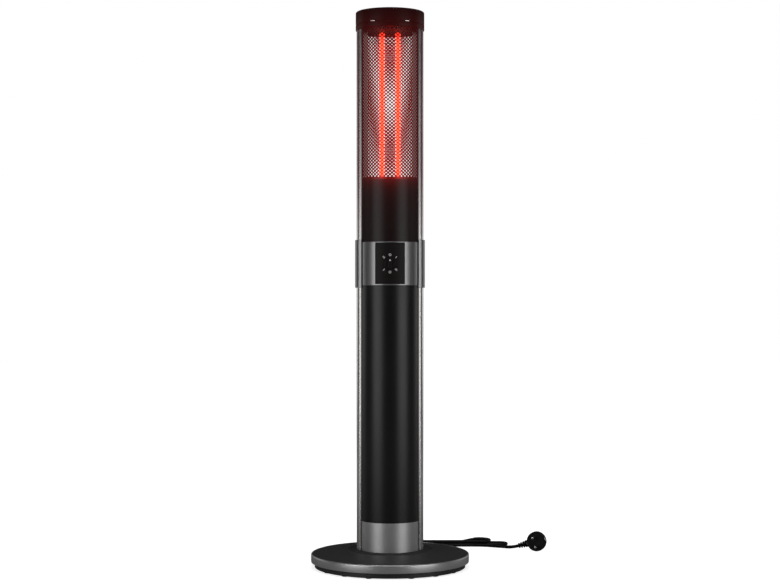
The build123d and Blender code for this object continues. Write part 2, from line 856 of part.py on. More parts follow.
def smooth_path(stations):
    """One tangent-continuous wire through places with headings."""
    edges = []
    for (start, leave), (end, arrive) in zip(stations, stations[1:]):
        edges += biarc(start, leave, end, arrive)
    return Wire(edges)


def tube_along(path, radius):
    """A round tube along a wire."""
    section = Plane(origin=path @ 0, z_dir=path % 0) * Circle(radius)
    return sweep(section, path=path)


def bend_radii(points):
    """The arc for each corner: 0.45 of the shorter run over tan of half the turn."""
    radii = []
    for before, here, after in zip(points, points[1:], points[2:]):
        first = Vector(*here) - Vector(*before)
        second = Vector(*after) - Vector(*here)
        half_turn = radians(first.get_angle(second) / 2)
        radii.append(0.45 * min(first.length, second.length) / tan(half_turn))
    return radii


def make_free_cord(name, points):
    """A free stretch of cord: straight runs joined by tangent arcs."""
    radii = bend_radii(points)
    path = FilletPolyline(*points, radius=radii)
    tube = tube_along(path.wire(), cord_radius)
    share = tube.volume / (pi * cord_radius**2 * path.length)
    print(name, "bend radii", [round(radius, 1) for radius in radii])
    print(name, "length", round(path.length, 1), "volume over section times length", round(share, 4))
    return tube


# The cord lies on the floor, so its middle is one radius and a little up.
lie = cord_radius + 0.05
strand = 2 * cord_radius + strand_gap
upper = lie + strand
gland_end = base_radius + slip + gland_flange + relief_length

# The folded cord behind the base: rows of strands, from the front one back.
row_front = base_radius + cord_behind
row_second = row_front + strand
row_rear = row_front + loop_depth
row_last = row_rear + strand
row_over = row_front + strand / 2
hank_start_x = 165.0
hank_end_x = 75.0
left_fold_x = -36.0
right_fold_x = 226.0
climb_start_x = 35.0
climb_end_x = -5.0
drop_end_x = 20.0

lead_points = [
    (0, gland_end, gland_z),
    (0, row_front - 42.3, gland_z),
    (5, row_front - 23.3, 15.6),
    (17, row_front - 7.3, 12.6),
    (38, row_front + 1.2, 11.0),
    (58, row_over, upper),
    (hank_end_x, row_over, upper),
]


def plug_frame():
    """The plug's face: z points out of the face and x along the cable."""
    turn = radians(plug_turn)
    tilt = radians(plug_tilt)
    cable = (-cos(tilt) * cos(turn), cos(tilt) * sin(turn), -sin(tilt))
    middle = (plug_x, base_radius + plug_behind, plug_radius)
    return Plane(origin=middle, x_dir=cable, z_dir=(-sin(turn), -cos(turn), 0))


def tail_points():
    """The stretch from the plug's relief to the folded cord."""
    face = plug_frame()
    tip = face.from_local_coords(Vector(plug_relief_reach, 0, -plug_neck_depth))
    out = tip + face.x_dir * ((tip.Z - lie - 0.2) / sin(radians(plug_tilt)))
    return [
        (tip.X, tip.Y, tip.Z),
        (out.X, out.Y, out.Z),
        (224.0, row_front - 15.8, lie),
        (190.0, row_front, lie),
        (hank_start_x, row_front, lie),
    ]


def hank_stations():
    """Places and headings along the folded cord, from its plug end."""
    right = Vector(1, 0, 0)
    left = Vector(-1, 0, 0)
    back = Vector(0, 1, 0)
    front = Vector(0, -1, 0)
    outer = (row_rear - row_front) / 2
    inner = (row_last - row_second) / 2
    tight = (row_rear - row_second) / 2
    return [
        (Vector(hank_start_x, row_front, lie), left),
        (Vector(left_fold_x, row_front, lie), left),
        (Vector(left_fold_x - outer, row_front + outer, lie), back),
        (Vector(left_fold_x, row_rear, lie), right),
        (Vector(right_fold_x, row_rear, lie), right),
        (Vector(right_fold_x + tight, row_second + tight, lie), front),
        (Vector(right_fold_x, row_second, lie), left),
        (Vector(climb_start_x, row_second, lie), left),
        (Vector(climb_end_x, row_second, upper), left),
        (Vector(left_fold_x, row_second, upper), left),
        (Vector(left_fold_x - inner, row_second + inner, upper), back),
        (Vector(left_fold_x, row_last, upper), right),
        (Vector(drop_end_x, row_last, lie), right),
        (Vector(80, row_last + 2, lie), Vector(1, 0.08, 0).normalized()),
        (Vector(132, row_last + 5, lie), right),
        (Vector(178, row_last + 1, upper), Vector(1, -0.12, 0).normalized()),
        (Vector(205, row_rear - 12, upper), front),
        (Vector(186, row_over, upper), left),
        (Vector(hank_end_x, row_over, upper), left),
    ]


def least_gap(path, skip):
    """The least gap between parts of a tube that are skip apart along it."""
    count = int(path.length / 2)
    places = [path.position_at(i / count) for i in range(count + 1)]
    apart = int(skip / 2)
    best = path.length
    for i, here in enumerate(places):
        for other in places[i + apart:]:
            best = min(best, (here - other).length)
    return best - 2 * cord_radius


def make_hank():
    """The folded cord as one unbroken tube."""
    path = smooth_path(hank_stations())
    tube = tube_along(path, cord_radius)
    share = tube.volume / (pi * cord_radius**2 * path.length)
    print("hank length", round(path.length, 1), "volume over section times length", round(share, 4))
    print("hank least gap to itself", round(least_gap(path, 30.0), 2))
    return tube


def make_gland():
    """The strain relief in the rim: a flanged body and a tapered tail."""
    start = base_radius - rim_wall - gland_inside
    flange_start = base_radius + slip
    gland = rod_y(gland_body_radius, start, flange_start + gland_flange, 0, gland_z)
    gland += rod_y(gland_flange_radius, flange_start, flange_start + gland_flange, 0, gland_z)
    inner = base_radius - rim_wall - hole_slack
    gland += rod_y(gland_flange_radius - slip, inner - gland_flange, inner, 0, gland_z)
    place = Plane(origin=(0, flange_start + gland_flange, gland_z), x_dir=(1, 0, 0), z_dir=(0, 1, 0))
    tail = Solid.make_cone(relief_root_radius, relief_tip_radius, relief_length, place)
    return gland + tail


# ---- plug ----
def make_plug_body():
    """An angled two-pin plug with its earth contacts on the sides."""
    face = plug_frame()
    rim = face * Pos(0, 0, -plug_face_depth / 2) * Cylinder(plug_radius, plug_face_depth)
    back_place = face * Pos(0, 0, -plug_face_depth - plug_back_depth)
    back = Solid.make_cone(plug_back_radius, plug_radius - plug_edge, plug_back_depth, Plane(back_place))
    cable = Plane(origin=face.from_local_coords(Vector(0, 0, -plug_neck_depth)), z_dir=face.x_dir)
    neck = Solid.make_cylinder(plug_neck_radius, plug_neck_reach, cable)
    body = rim + back + neck
    for side in (-1, 1):
        slot_x = side * (plug_radius - earth_clip / 2)
        slot = Box(earth_clip + 2 * slip, earth_clip_width + 2 * slip, earth_clip_length + slip)
        body -= face * Pos(slot_x, 0, -earth_clip_length / 2) * slot
        hole = Cylinder(pin_root_radius + slip, pin_seat)
        body -= face * Pos(0, side * pin_pitch / 2, -pin_seat / 2) * hole
    return body


def make_plug_pins():
    """Two round pins with eased tips and a slimmer seated root."""
    face = plug_frame()
    pin = disc(pin_radius, pin_root_neck, pin_length)
    pin = fillet(pin.edges().group_by(Axis.Z)[-1], pin_radius / 3)
    pin += disc(pin_root_radius, slip - pin_seat, pin_root_neck)
    return join([face * Pos(0, side * pin_pitch / 2, 0) * pin for side in (-1, 1)])


def make_earth_clips():
    """The two spring contacts at the plug's sides."""
    face = plug_frame()
    clips = []
    for side in (-1, 1):
        clip = Box(earth_clip, earth_clip_width, earth_clip_length)
        clips.append(face * Pos(side * (plug_radius - earth_clip / 2), 0, -earth_clip_length / 2) * clip)
    return join(clips)


def make_plug_relief():
    """The tapered sleeve between the plug's neck and the cord."""
    face = plug_frame()
    start = face.from_local_coords(Vector(plug_neck_reach, 0, -plug_neck_depth))
    length = plug_relief_reach - plug_neck_reach
    place = Plane(origin=start, z_dir=face.x_dir)
    return Solid.make_cone(plug_relief_radius, relief_tip_radius, length, place)


nodes = {
    "base_tray": make_tray(),
    "base_feet": make_feet(),
    "base_weight": make_weight(),
    "base_rim": make_rim(),
    "base_top": make_top(),
    "tray_screws": make_tray_screws(),
    "column_foot": make_foot_plate(),
    "column_bolts": make_bolts(),
    "post_screws": make_post_screws(),
    "tip_switch_body": make_tip_body(),
    "tip_switch_plunger": make_plunger(),
    "tip_switch_spring": make_spring(),
    "terminal_block": make_terminal(),
    "wiring_harness": make_harness(),
    "foot_band_front": make_cover(plateau_z, band_top_z),
    "foot_band_rear": rear(make_cover(plateau_z, band_top_z)),
    "lower_cover_front": make_cover(band_top_z, collar_bottom_z),
    "lower_cover_rear": rear(make_cover(band_top_z, collar_bottom_z)),
    "bulkhead_lower": make_bulkhead(bulkhead_lower_z),
    "bulkhead_middle": make_bulkhead(bulkhead_middle_z),
    "bulkhead_upper": make_bulkhead(collar_bottom_z - bulkhead),
    "collar_front": make_collar_front(),
    "collar_rear": make_collar_rear(),
    "collar_core": make_core(),
    "collar_screws": make_collar_screws(),
    "control_fascia": make_fascia(),
    "knob": make_knob(),
    "switch_shaft": make_shaft(),
    "rotary_switch": make_switch(),
    "switch_nut": make_nut(),
    "guard_front": make_guard(),
    "guard_rear": rear(make_guard()),
    "lamp_plate_lower": make_lamp_plate(lamp_zone_bottom - lamp_plate),
    "lamp_plate_upper": make_lamp_plate(lamp_zone_top),
    "lamp_ends": make_lamp_ends(),
    "thermal_cutout": make_cutout(),
    "cap_frame": make_cap_frame(),
    "top_cap": make_cap(),
    "cap_screws": make_cap_screws(),
    "cord_gland": make_gland(),
    "cord_lead": make_free_cord("lead", lead_points),
    "cord_hank": make_hank(),
    "cord_tail": make_free_cord("tail", tail_points()),
    "plug_body": make_plug_body(),
    "plug_pins": make_plug_pins(),
    "plug_earth_clips": make_earth_clips(),
    "plug_relief": make_plug_relief(),
}
for side, word in ((-1, "left"), (1, "right")):
    nodes["lower_post_" + word] = make_post(plateau_z, collar_mid, side)
    nodes["upper_post_" + word] = make_post(collar_mid, post_top, side)
    nodes["post_joiner_" + word] = make_joiner(side)
    nodes["collar_sleeve_" + word] = make_sleeve(side)
    nodes["lamp_tube_" + word] = make_lamp_tube(side)
    nodes["lamp_element_" + word] = make_lamp_element(side)

os.makedirs("parts", exist_ok=True)
for name, shape in nodes.items():
    export_step(shape, "parts/" + name + ".step")
print(len(nodes), "nodes")
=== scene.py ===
from math import acos, asin, cos, pi, radians, sin, sqrt, tan

import bmesh
import bpy
from bpy.props import FloatProperty, FloatVectorProperty, IntProperty, PointerProperty
from mathutils import Matrix, Vector


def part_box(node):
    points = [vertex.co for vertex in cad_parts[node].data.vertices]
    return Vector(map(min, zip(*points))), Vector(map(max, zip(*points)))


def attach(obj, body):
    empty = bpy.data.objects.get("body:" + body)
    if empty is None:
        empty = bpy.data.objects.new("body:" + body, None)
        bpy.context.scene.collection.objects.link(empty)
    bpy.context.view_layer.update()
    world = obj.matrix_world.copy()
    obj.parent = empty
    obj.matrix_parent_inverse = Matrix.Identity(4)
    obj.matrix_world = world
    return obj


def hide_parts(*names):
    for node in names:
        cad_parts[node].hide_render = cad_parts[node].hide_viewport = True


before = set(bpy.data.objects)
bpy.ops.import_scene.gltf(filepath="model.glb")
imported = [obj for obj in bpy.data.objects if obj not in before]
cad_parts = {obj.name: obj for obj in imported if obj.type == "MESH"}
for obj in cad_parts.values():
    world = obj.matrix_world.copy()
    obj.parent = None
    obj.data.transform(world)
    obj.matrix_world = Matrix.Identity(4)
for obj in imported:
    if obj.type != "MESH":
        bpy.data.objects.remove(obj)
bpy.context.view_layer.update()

bl_info = {
    "name": "Infrared patio heater tower",
    "version": (1, 0, 0),
    "blender": (4, 5, 0),
    "location": "View3D > Sidebar > Heater",
    "description": "Builds the visible pieces of a patio heater tower over its packed model",
    "category": "Object",
}

# ---- fixed sizes, in metres ----
FOOT_INSET = 0.0075  # from the tray's edge to the circle of feet
RIM_WALL = 0.0028
RIM_FLANGE = 0.0168  # how far the rim reaches in under the base
DOME_FLAT = 0.0814  # radius of the flat round the column
DOME_LIP = 0.0008  # step down from the flat to the dome
DOME_RISE = 0.008
DOME_SHEET = 0.002
SKIRT_END = 0.013  # height of the dome's lower edge
COVER_RETURN = 0.0095  # how far a cover's edge turns in
POST_SHADE_EDGE = 0.0555  # from the axis to where the painted shade on the posts' faces ends
COLLAR_SHEET = 0.002
SLIP = 0.0001  # clearance between pieces that fit together
SCREW_HEAD = 0.003
FASCIA_SHEET = 0.0024
PRINT = 0.0001  # thickness of the dial's print
KNOB_GRIP = 0.0034  # half the width of the knob's bar
POINTER_RISE = 0.0055  # from the knob's axis to its dot
TUBE_WALL = 0.001
CAP_WALL = 0.002
CAP_CROWN = 0.0017
CAP_GROOVE_RISE = 0.0102
CAP_GROOVE = 0.0009
PLUG_RADIUS = 0.0198
PLUG_LEAD = 0.013  # how far behind its face the plug's cable leaves
PIN_PITCH = 0.019
HALO_WIDTH = 0.013  # of the lamps' light painted on the guards
SPILL_WIDTH = 0.035  # of their light painted on the skirt below
PAINTED_TINT_START = 0.6  # height from which the lamps' light is painted on the posts as a mauve tint
PAINTED_TINT_RISE = 0.15

# ---- the camera and the studio ----
LENS = 76.15  # in millimetres
CAMERA_AWAY = 3.138
CAMERA_HEIGHT = 0.5213
# Each softbox: place, height it is aimed at, width, length and power.
SOFTBOXES = {
    "left_softbox": ((-1.7, -1.52, 0.6), 0.6, 1.4, 1.15, 15.5),
    "right_softbox": ((1.7, -1.52, 0.6), 0.6, 1.4, 1.15, 15.5),
    "rear_left_softbox": ((-1.7, 1.52, 0.7), 0.6, 1.4, 1.15, 3.0),
    "rear_right_softbox": ((1.7, 1.52, 0.7), 0.6, 1.4, 1.15, 3.0),
    "top_softbox": ((0, -0.3, 2.6), 0.4, 1.6, 1.6, 20.0),
}

FRONT_REAR = ("front", "rear")
RIGHT_LEFT = ("right", "left")

BLACK = (0.0, 0.0, 0.0, 1.0)
WHITE = (1.0, 1.0, 1.0, 1.0)


# ---- node trees ----
class Wire:
    """A socket in a node tree, with arithmetic on its numbers."""

    def __init__(self, tree, socket):
        self.tree = tree
        self.socket = socket

    def __add__(self, other):
        return self.tree.math("ADD", self, other)

    def __radd__(self, other):
        return self.tree.math("ADD", other, self)

    def __sub__(self, other):
        return self.tree.math("SUBTRACT", self, other)

    def __rsub__(self, other):
        return self.tree.math("SUBTRACT", other, self)

    def __mul__(self, other):
        return self.tree.math("MULTIPLY", self, other)

    def __rmul__(self, other):
        return self.tree.math("MULTIPLY", other, self)

    def __truediv__(self, other):
        return self.tree.math("DIVIDE", self, other)

    def __rtruediv__(self, other):
        return self.tree.math("DIVIDE", other, self)

    def __gt__(self, other):
        return self.tree.math("GREATER_THAN", self, other)

    def __abs__(self):
        return self.tree.math("ABSOLUTE", self)

    def clamped(self):
        """The same number held between 0 and 1."""
        return self.tree.node("ShaderNodeClamp", {}, {"Value": self})

    def fade(self, start, width):
        """0 up to start and 1 from a width past it; a negative width runs downwards."""
        return ((self - start) / width).clamped()

    def part(self, axis):
        """One number of a vector."""
        return self.tree.node("ShaderNodeSeparateXYZ", {}, {0: self}, axis)


class Tree:
    """A node tree in the making."""

    def __init__(self, graph):
        self.graph = graph

    def node(self, kind, settings, inputs, output=0):
        """Adds a node: its settings first, then its inputs; gives one output."""
        made = self.graph.nodes.new(kind)
        for name, value in settings.items():
            setattr(made, name, value)
        for name, value in inputs.items():
            if isinstance(value, Wire):
                self.graph.links.new(value.socket, made.inputs[name])
            else:
                made.inputs[name].default_value = value
        return Wire(self, made.outputs[output])

    def math(self, operation, first, second=0.0):
        """Arithmetic on numbers."""
        return self.node("ShaderNodeMath", {"operation": operation}, {0: first, 1: second})

    def vector_math(self, operation, first, second=(0.0, 0.0, 0.0), output="Vector"):
        """Arithmetic on vectors."""
        return self.node("ShaderNodeVectorMath", {"operation": operation}, {0: first, 1: second}, output)

    def where(self, space="Object"):
        """A point's place on the object, or its direction in the sky."""
        return self.node("ShaderNodeTexCoord", {}, {}, space)

    def ray(self, kind):
        """1 for rays of a kind, else 0."""
        return self.node("ShaderNodeLightPath", {}, {}, "Is " + kind + " Ray")

    def end(self, kind, socket, last):
        """Links the last wire to the tree's output."""
        output = self.graph.nodes.new(kind)
        self.graph.links.new(last.socket, output.inputs[socket])


class Finish(Tree):
    """A material in the making."""

    def __init__(self, name):
        self.material = bpy.data.materials.new(name)
        self.material.use_nodes = True
        super().__init__(self.material.node_tree)
        self.graph.nodes.clear()

    def noise(self, scale, detail, stretch=(1.0, 1.0, 1.0)):
        """Soft noise from 0 to 1; scale is in spots per metre."""
        place = self.node("ShaderNodeMapping", {}, {"Vector": self.where(), "Scale": stretch})
        return self.node("ShaderNodeTexNoise", {}, {"Vector": place, "Scale": scale, "Detail": detail})

    def blend(self, amount, first, second):
        """A colour between two colours."""
        return self.node("ShaderNodeMix", {"data_type": "RGBA"}, {"Factor": amount, 6: first, 7: second}, 2)

    def bump(self, height, distance, strength):
        """A normal raised by a height."""
        inputs = {"Strength": strength, "Distance": distance, "Height": height}
        return self.node("ShaderNodeBump", {}, inputs)

    def shade(self, **inputs):
        """Closes the material with a principled shader."""
        named = {name.replace("_", " "): value for name, value in inputs.items()}
        return self.close(self.node("ShaderNodeBsdfPrincipled", {}, named))

    def close(self, shader):
        """Links a shader to the material's output."""
        self.end("ShaderNodeOutputMaterial", "Surface", shader)
        return self.material


class Maker(Tree):
    """A geometry tree in the making, with named sizes."""

    SOCKETS = {"number": "NodeSocketFloat", "count": "NodeSocketInt", "vector": "NodeSocketVector"}

    def __init__(self, name, **sizes):
        super().__init__(bpy.data.node_groups.new(name, "GeometryNodeTree"))
        face = self.graph.interface
        face.new_socket("Geometry", in_out="INPUT", socket_type="NodeSocketGeometry")
        for size, kind in sizes.items():
            face.new_socket(size, in_out="INPUT", socket_type=self.SOCKETS[kind])
        face.new_socket("Finish", in_out="INPUT", socket_type="NodeSocketMaterial")
        face.new_socket("Geometry", in_out="OUTPUT", socket_type="NodeSocketGeometry")
        self.start = self.graph.nodes.new("NodeGroupInput")

    def size(self, name):
        """A named input as a wire."""
        return Wire(self, self.start.outputs[name])

    def vector(self, x, y, z=0.0):
        """A vector from three numbers."""
        return self.node("ShaderNodeCombineXYZ", {}, {0: x, 1: y, 2: z})

    def join(self, *pieces):
        """Several geometries as one."""
        made = self.graph.nodes.new("GeometryNodeJoinGeometry")
        for piece in pieces:
            self.graph.links.new(piece.socket, made.inputs[0])
        return Wire(self, made.outputs[0])

    def copies(self, places, piece, scale=(1.0, 1.0, 1.0)):
        """A piece on every point."""
        inputs = {"Points": places, "Instance": piece, "Scale": scale}
        return self.node("GeometryNodeInstanceOnPoints", {}, inputs)

    def moved(self, geometry, place):
        """A geometry with every point at a new place."""
        return self.node("GeometryNodeSetPosition", {}, {"Geometry": geometry, "Position": place})

    def around(self, radius, angle):
        """Both coordinates of a place on a circle; angle 0 is the front."""
        return radius * self.math("SINE", angle), radius * self.math("COSINE", angle) * -1.0

    def close(self, geometry):
        """Realises the instances, sets the finish and ends the tree."""
        real = self.node("GeometryNodeRealizeInstances", {}, {"Geometry": geometry})
        dressed = {"Geometry": real, "Material": self.size("Finish")}
        self.end("NodeGroupOutput", "Geometry", self.node("GeometryNodeSetMaterial", {}, dressed))
        return self

    def grow(self, thing, finish, **values):
        """Runs the tree on an object and keeps the result as its plain mesh."""
        modifier = thing.modifiers.new("Grow", "NODES")
        modifier.node_group = self.graph
        values["Finish"] = finish_for(finish)
        for item in self.graph.interface.items_tree:
            if item.in_out == "INPUT" and item.name in values:
                modifier[item.identifier] = values[item.name]
        return settle(thing)


def ring_maker():
    """Copies of a piece round a circle, half of them on each side."""
    tree = Maker("Round the circle", Radius="number", First="number", Step="number", Side="count")
    side = tree.size("Side")
    points = tree.node("GeometryNodePoints", {}, {"Count": side * 2.0})
    index = tree.node("GeometryNodeInputIndex", {}, {})
    mirrored = index > side - 0.5
    angle = tree.size("First") + (index - side * mirrored) * tree.size("Step")
    across, along = tree.around(tree.size("Radius"), angle)
    points = tree.moved(points, tree.vector(across * (1.0 - 2.0 * mirrored), along))
    return tree.close(tree.copies(points, tree.size("Geometry")))


def row_maker():
    """Copies of a piece in a row, each smaller than the last by the fade."""
    tree = Maker("In a row", Count="count", Start="vector", Step="vector", Fade="number")
    points = tree.node("GeometryNodePoints", {}, {"Count": tree.size("Count")})
    index = tree.node("GeometryNodeInputIndex", {}, {})
    inputs = {0: tree.size("Step"), 1: index, 2: tree.size("Start")}
    place = tree.node("ShaderNodeVectorMath", {"operation": "MULTIPLY_ADD"}, inputs)
    points = tree.moved(points, place)
    return tree.close(tree.copies(points, tree.size("Geometry"), 1.0 - index * tree.size("Fade")))


def guard_maker():
    """A sheet of staggered round holes, bent round the column.

    Each hole has a diamond of sheet round it, and the diamonds meet edge to
    edge. The geometry that comes in is the plain margin round the holes.
    """
    tree = Maker("Perforated guard", Hole="number", Pitch="number", Rise="number", First="number",
                 Columns="count", Rows="count", Radius="number")
    pitch, rise, rows, radius = (tree.size(word) for word in ("Pitch", "Rise", "Rows", "Radius"))
    diamond = {"Width": pitch, "Bottom Height": rise, "Top Height": rise}
    diamond = tree.node("GeometryNodeCurvePrimitiveQuadrilateral", {"mode": "KITE"}, diamond)
    hole = {"Resolution": 16, "Radius": tree.size("Hole") / 2.0}
    hole = tree.node("GeometryNodeCurvePrimitiveCircle", {}, hole)
    tile = tree.node("GeometryNodeFillCurve", {}, {0: tree.join(diamond, hole)})
    middle = tree.size("First") + (rows - 1.0) * rise / 2.0
    sheets = [tree.size("Geometry")]
    for offset in (0.0, 1.0):
        across = tree.size("Columns") - offset
        up = (rows + 1.0) / 2.0 - offset
        sizes = {"Size X": (across - 1.0) * pitch, "Size Y": (up - 1.0) * rise * 2.0,
                 "Vertices X": across, "Vertices Y": up}
        grid = tree.node("GeometryNodeMeshGrid", {}, sizes)
        lifted = {"Geometry": grid, "Translation": tree.vector(0.0, middle)}
        sheets.append(tree.copies(tree.node("GeometryNodeTransform", {}, lifted), tile))
    real = tree.node("GeometryNodeRealizeInstances", {}, {"Geometry": tree.join(*sheets)})
    joined = tree.node("GeometryNodeMergeByDistance", {}, {"Geometry": real, "Distance": 0.00002})
    where = tree.node("GeometryNodeInputPosition", {}, {})
    across, along = tree.around(radius, where.part("X") / radius)
    return tree.close(tree.moved(joined, tree.vector(across, along, where.part("Y"))))


# ---- finishes ----
def toned(colour, share, lift=0.0):
    """A colour made darker or paler."""
    return [min(1.0, channel * share + lift) for channel in colour[:3]] + [1.0]


def scene_colour(word):
    """A colour from the panel."""
    return tuple(getattr(bpy.context.scene.heater_colours, word))


def lamp_zone():
    """The heights between which the lamps show, from plate to plate."""
    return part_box("lamp_plate_lower")[1].z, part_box("lamp_plate_upper")[0].z


def surface(name, colours, grain, patches=None, *, rough, grainy, patchy=0.0, bump=None,
            metallic=0.0, shine=0.5, level=0.0, contrast=1.0):
    """A surface with a fine noise for its grain and a broad one for its patches.

    grain and patches are spots per metre, detail and stretch, and without
    patches the grain takes their place. rough is the roughness, to which
    patchy and grainy times the two noises are added. bump is the grain's
    height and strength. Patches show above level, by contrast.
    """
    finish = Finish(name)
    cells = finish.noise(*grain)
    patch = finish.noise(*patches) if patches else cells
    for noise, share in ((patch, patchy), (cells, grainy)):
        if share:
            rough = rough + noise * share
    shown = patch if contrast == 1.0 else (patch - level) * contrast
    inputs = {"Normal": finish.bump(cells, *bump)} if bump else {}
    return finish.shade(
        Base_Color=finish.blend(shown, *colours),
        Metallic=metallic,
        Roughness=rough.clamped(),
        Specular_IOR_Level=shine,
        **inputs,
    )


def powder_coat(name, colour, roughness, metallic=0.0, shine=0.5):
    """Sprayed and baked paint with a fine orange peel and faint dust."""
    return surface(
        name, (toned(colour, 0.86), toned(colour, 1.1, 0.002)), (1500.0, 3.0), (9.0, 3.0),
        rough=roughness - 0.06, patchy=0.08, grainy=0.04, bump=(0.00002, 0.6), metallic=metallic, shine=shine,
    )


def moulded(name, colour, roughness, cells=900.0, depth=0.00003, shine=0.5):
    """Moulded plastic or rubber with a fine grain."""
    return surface(
        name, (colour, toned(colour, 1.25, 0.001)), (cells, 4.0), (30.0, 2.0),
        rough=roughness - 0.05, patchy=0.06, grainy=0.06, bump=(depth, 0.7), shine=shine,
    )


def bright_metal(name, colour, roughness):
    """Plated metal with light marks from handling."""
    return surface(
        name, (colour, toned(colour, 0.8)), (700.0, 4.0, (1.0, 1.0, 0.2)),
        rough=roughness - 0.05, grainy=0.14, bump=(0.00001, 0.4), metallic=1.0,
    )


def cast_iron(name, colour):
    """Rough sand-cast iron with a little rust."""
    rust = (colour[0] * 1.6, colour[1] * 1.1, colour[2] * 0.8, 1.0)
    return surface(
        name, (colour, rust), (420.0, 6.0), (45.0, 3.0),
        rough=0.6, grainy=0.3, bump=(0.0003, 0.8), metallic=0.6, level=0.55, contrast=2.5,
    )


def gloss_black(name, colour, roughness, shine=0.12):
    """Smooth plastic with hair scratches."""
    return surface(
        name, (colour, toned(colour, 1.4, 0.001)), (260.0, 4.0, (0.2, 1.0, 1.0)),
        rough=roughness, grainy=0.08, shine=shine,
    )


def ceramic(name, colour):
    """Unglazed white ceramic with fine specks."""
    return surface(
        name, (colour, toned(colour, 0.8)), (1400.0, 2.0),
        rough=0.5, grainy=0.15, bump=(0.00004, 0.5), level=0.62, contrast=6.0,
    )


def zinc_sheet(name, colour):
    """Zinc-plated sheet with its faint crystals."""
    finish = Finish(name)
    inputs = {"Vector": finish.where(), "Scale": 140.0}
    tone = finish.node("ShaderNodeTexVoronoi", {}, inputs, "Color").part("X")
    return finish.shade(
        Base_Color=finish.blend(tone, colour, toned(colour, 1.2)),
        Metallic=1.0,
        Roughness=0.3 + tone * 0.2,
        Normal=finish.bump(tone, 0.00001, 0.3),
    )


def dome_paint(name, colour):
    """Black paint that is duller on the flat round the column, and darker there as painted shade round the
    column's foot.
    """
    finish = Finish(name)
    peel = finish.noise(1300.0, 3.0)
    cloud = finish.noise(12.0, 3.0)
    level = finish.vector_math("MULTIPLY", finish.where(), (1.0, 1.0, 0.0))
    radius = finish.vector_math("LENGTH", level, output="Value")
    # The flat is rougher, and its darker colour is painted shade round the column's foot.
    dull_and_shaded = radius.fade(DOME_FLAT - 0.0002, -0.0006)
    return finish.shade(
        Base_Color=finish.blend(dull_and_shaded, colour, toned(colour, 0.4)),
        Roughness=(0.46 + cloud * 0.06 + peel * 0.04 + dull_and_shaded * 0.3).clamped(),
        Specular_IOR_Level=0.4,
        Normal=finish.bump(peel, 0.00002, 0.6),
    )


def drawn_metal(finish, lines, roughness, colour, **others):
    """Closes drawn aluminium with fine lines along its length."""
    return finish.shade(
        Base_Color=colour,
        Metallic=0.9,
        Roughness=(roughness - 0.02 + lines * 0.04).clamped(),
        Normal=finish.bump(lines, 0.000005, 0.2),
        **others,
    )


def anodised(name, colour, roughness, lip=0.0):
    """Anodised aluminium, with painted shade nearer to the axis than lip, where the covers' edges keep the
    light off the posts' faces.
    """
    finish = Finish(name)
    lines = finish.noise(700.0, 1.0, (1.0, 1.0, 0.002))
    across = abs(finish.where().part("X"))
    # Painted shade on the faces inside the edge; the fine lines vary the rest a little.
    out = across.fade(lip, 0.001) * (0.9 + lines * 0.1)
    return drawn_metal(finish, lines, roughness, finish.blend(out, toned(colour, 0.12), colour))


def lamp_lit(name, colour, roughness):
    """The posts' aluminium by the lamps, with their light painted on it, and painted shade along the faces'
    inner edge.
    """
    low, high = lamp_zone()
    finish = Finish(name)
    lines = finish.noise(700.0, 1.0, (1.0, 1.0, 0.002))
    where = finish.where()
    up, across = where.part("Z"), abs(where.part("X"))
    # Painted light of the lamps: a pale glow on the part that the guards hide, and a mauve tint outside it.
    beside = up.fade(low, 0.004) * up.fade(high, -0.01)
    hidden = across.fade(POST_SHADE_EDGE - 0.002, -0.001)
    glow = finish.blend(beside * hidden, BLACK, (0.26, 0.16, 0.155, 1.0))
    painted_mauve = (colour[0] * 0.52, colour[1] * 0.38, colour[2] * 0.39, 1.0)
    lamp_tinted = finish.blend(up.fade(PAINTED_TINT_START, PAINTED_TINT_RISE), colour, painted_mauve)
    # Painted shade along the faces' inner edge, as on the lower posts.
    shown = finish.blend(across.fade(POST_SHADE_EDGE, 0.001), toned(colour, 0.2), lamp_tinted)
    return drawn_metal(finish, lines, roughness, shown, Emission_Color=glow, Emission_Strength=1.0)


def cap_plastic(name, colour):
    """Satin black plastic, with the red light of the lamps below it painted on as a faint glow, strongest at
    its bottom.
    """
    finish = Finish(name)
    cells = finish.noise(900.0, 3.0)
    top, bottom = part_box("top_cap")[1].z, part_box("top_cap")[0].z
    painted_glow_share = finish.where().part("Z").fade(top, bottom - top)
    return finish.shade(
        Base_Color=finish.blend(cells, colour, toned(colour, 1.3)),
        Roughness=(0.36 + cells * 0.08).clamped(),
        Specular_IOR_Level=0.1,
        # A faint painted glow of the lamps' red light.
        Emission_Color=finish.blend(0.01 + painted_glow_share * 0.02, BLACK, scene_colour("painted_lamp_light")),
        Emission_Strength=1.0,
        Normal=finish.bump(cells, 0.00001, 0.5),
    )


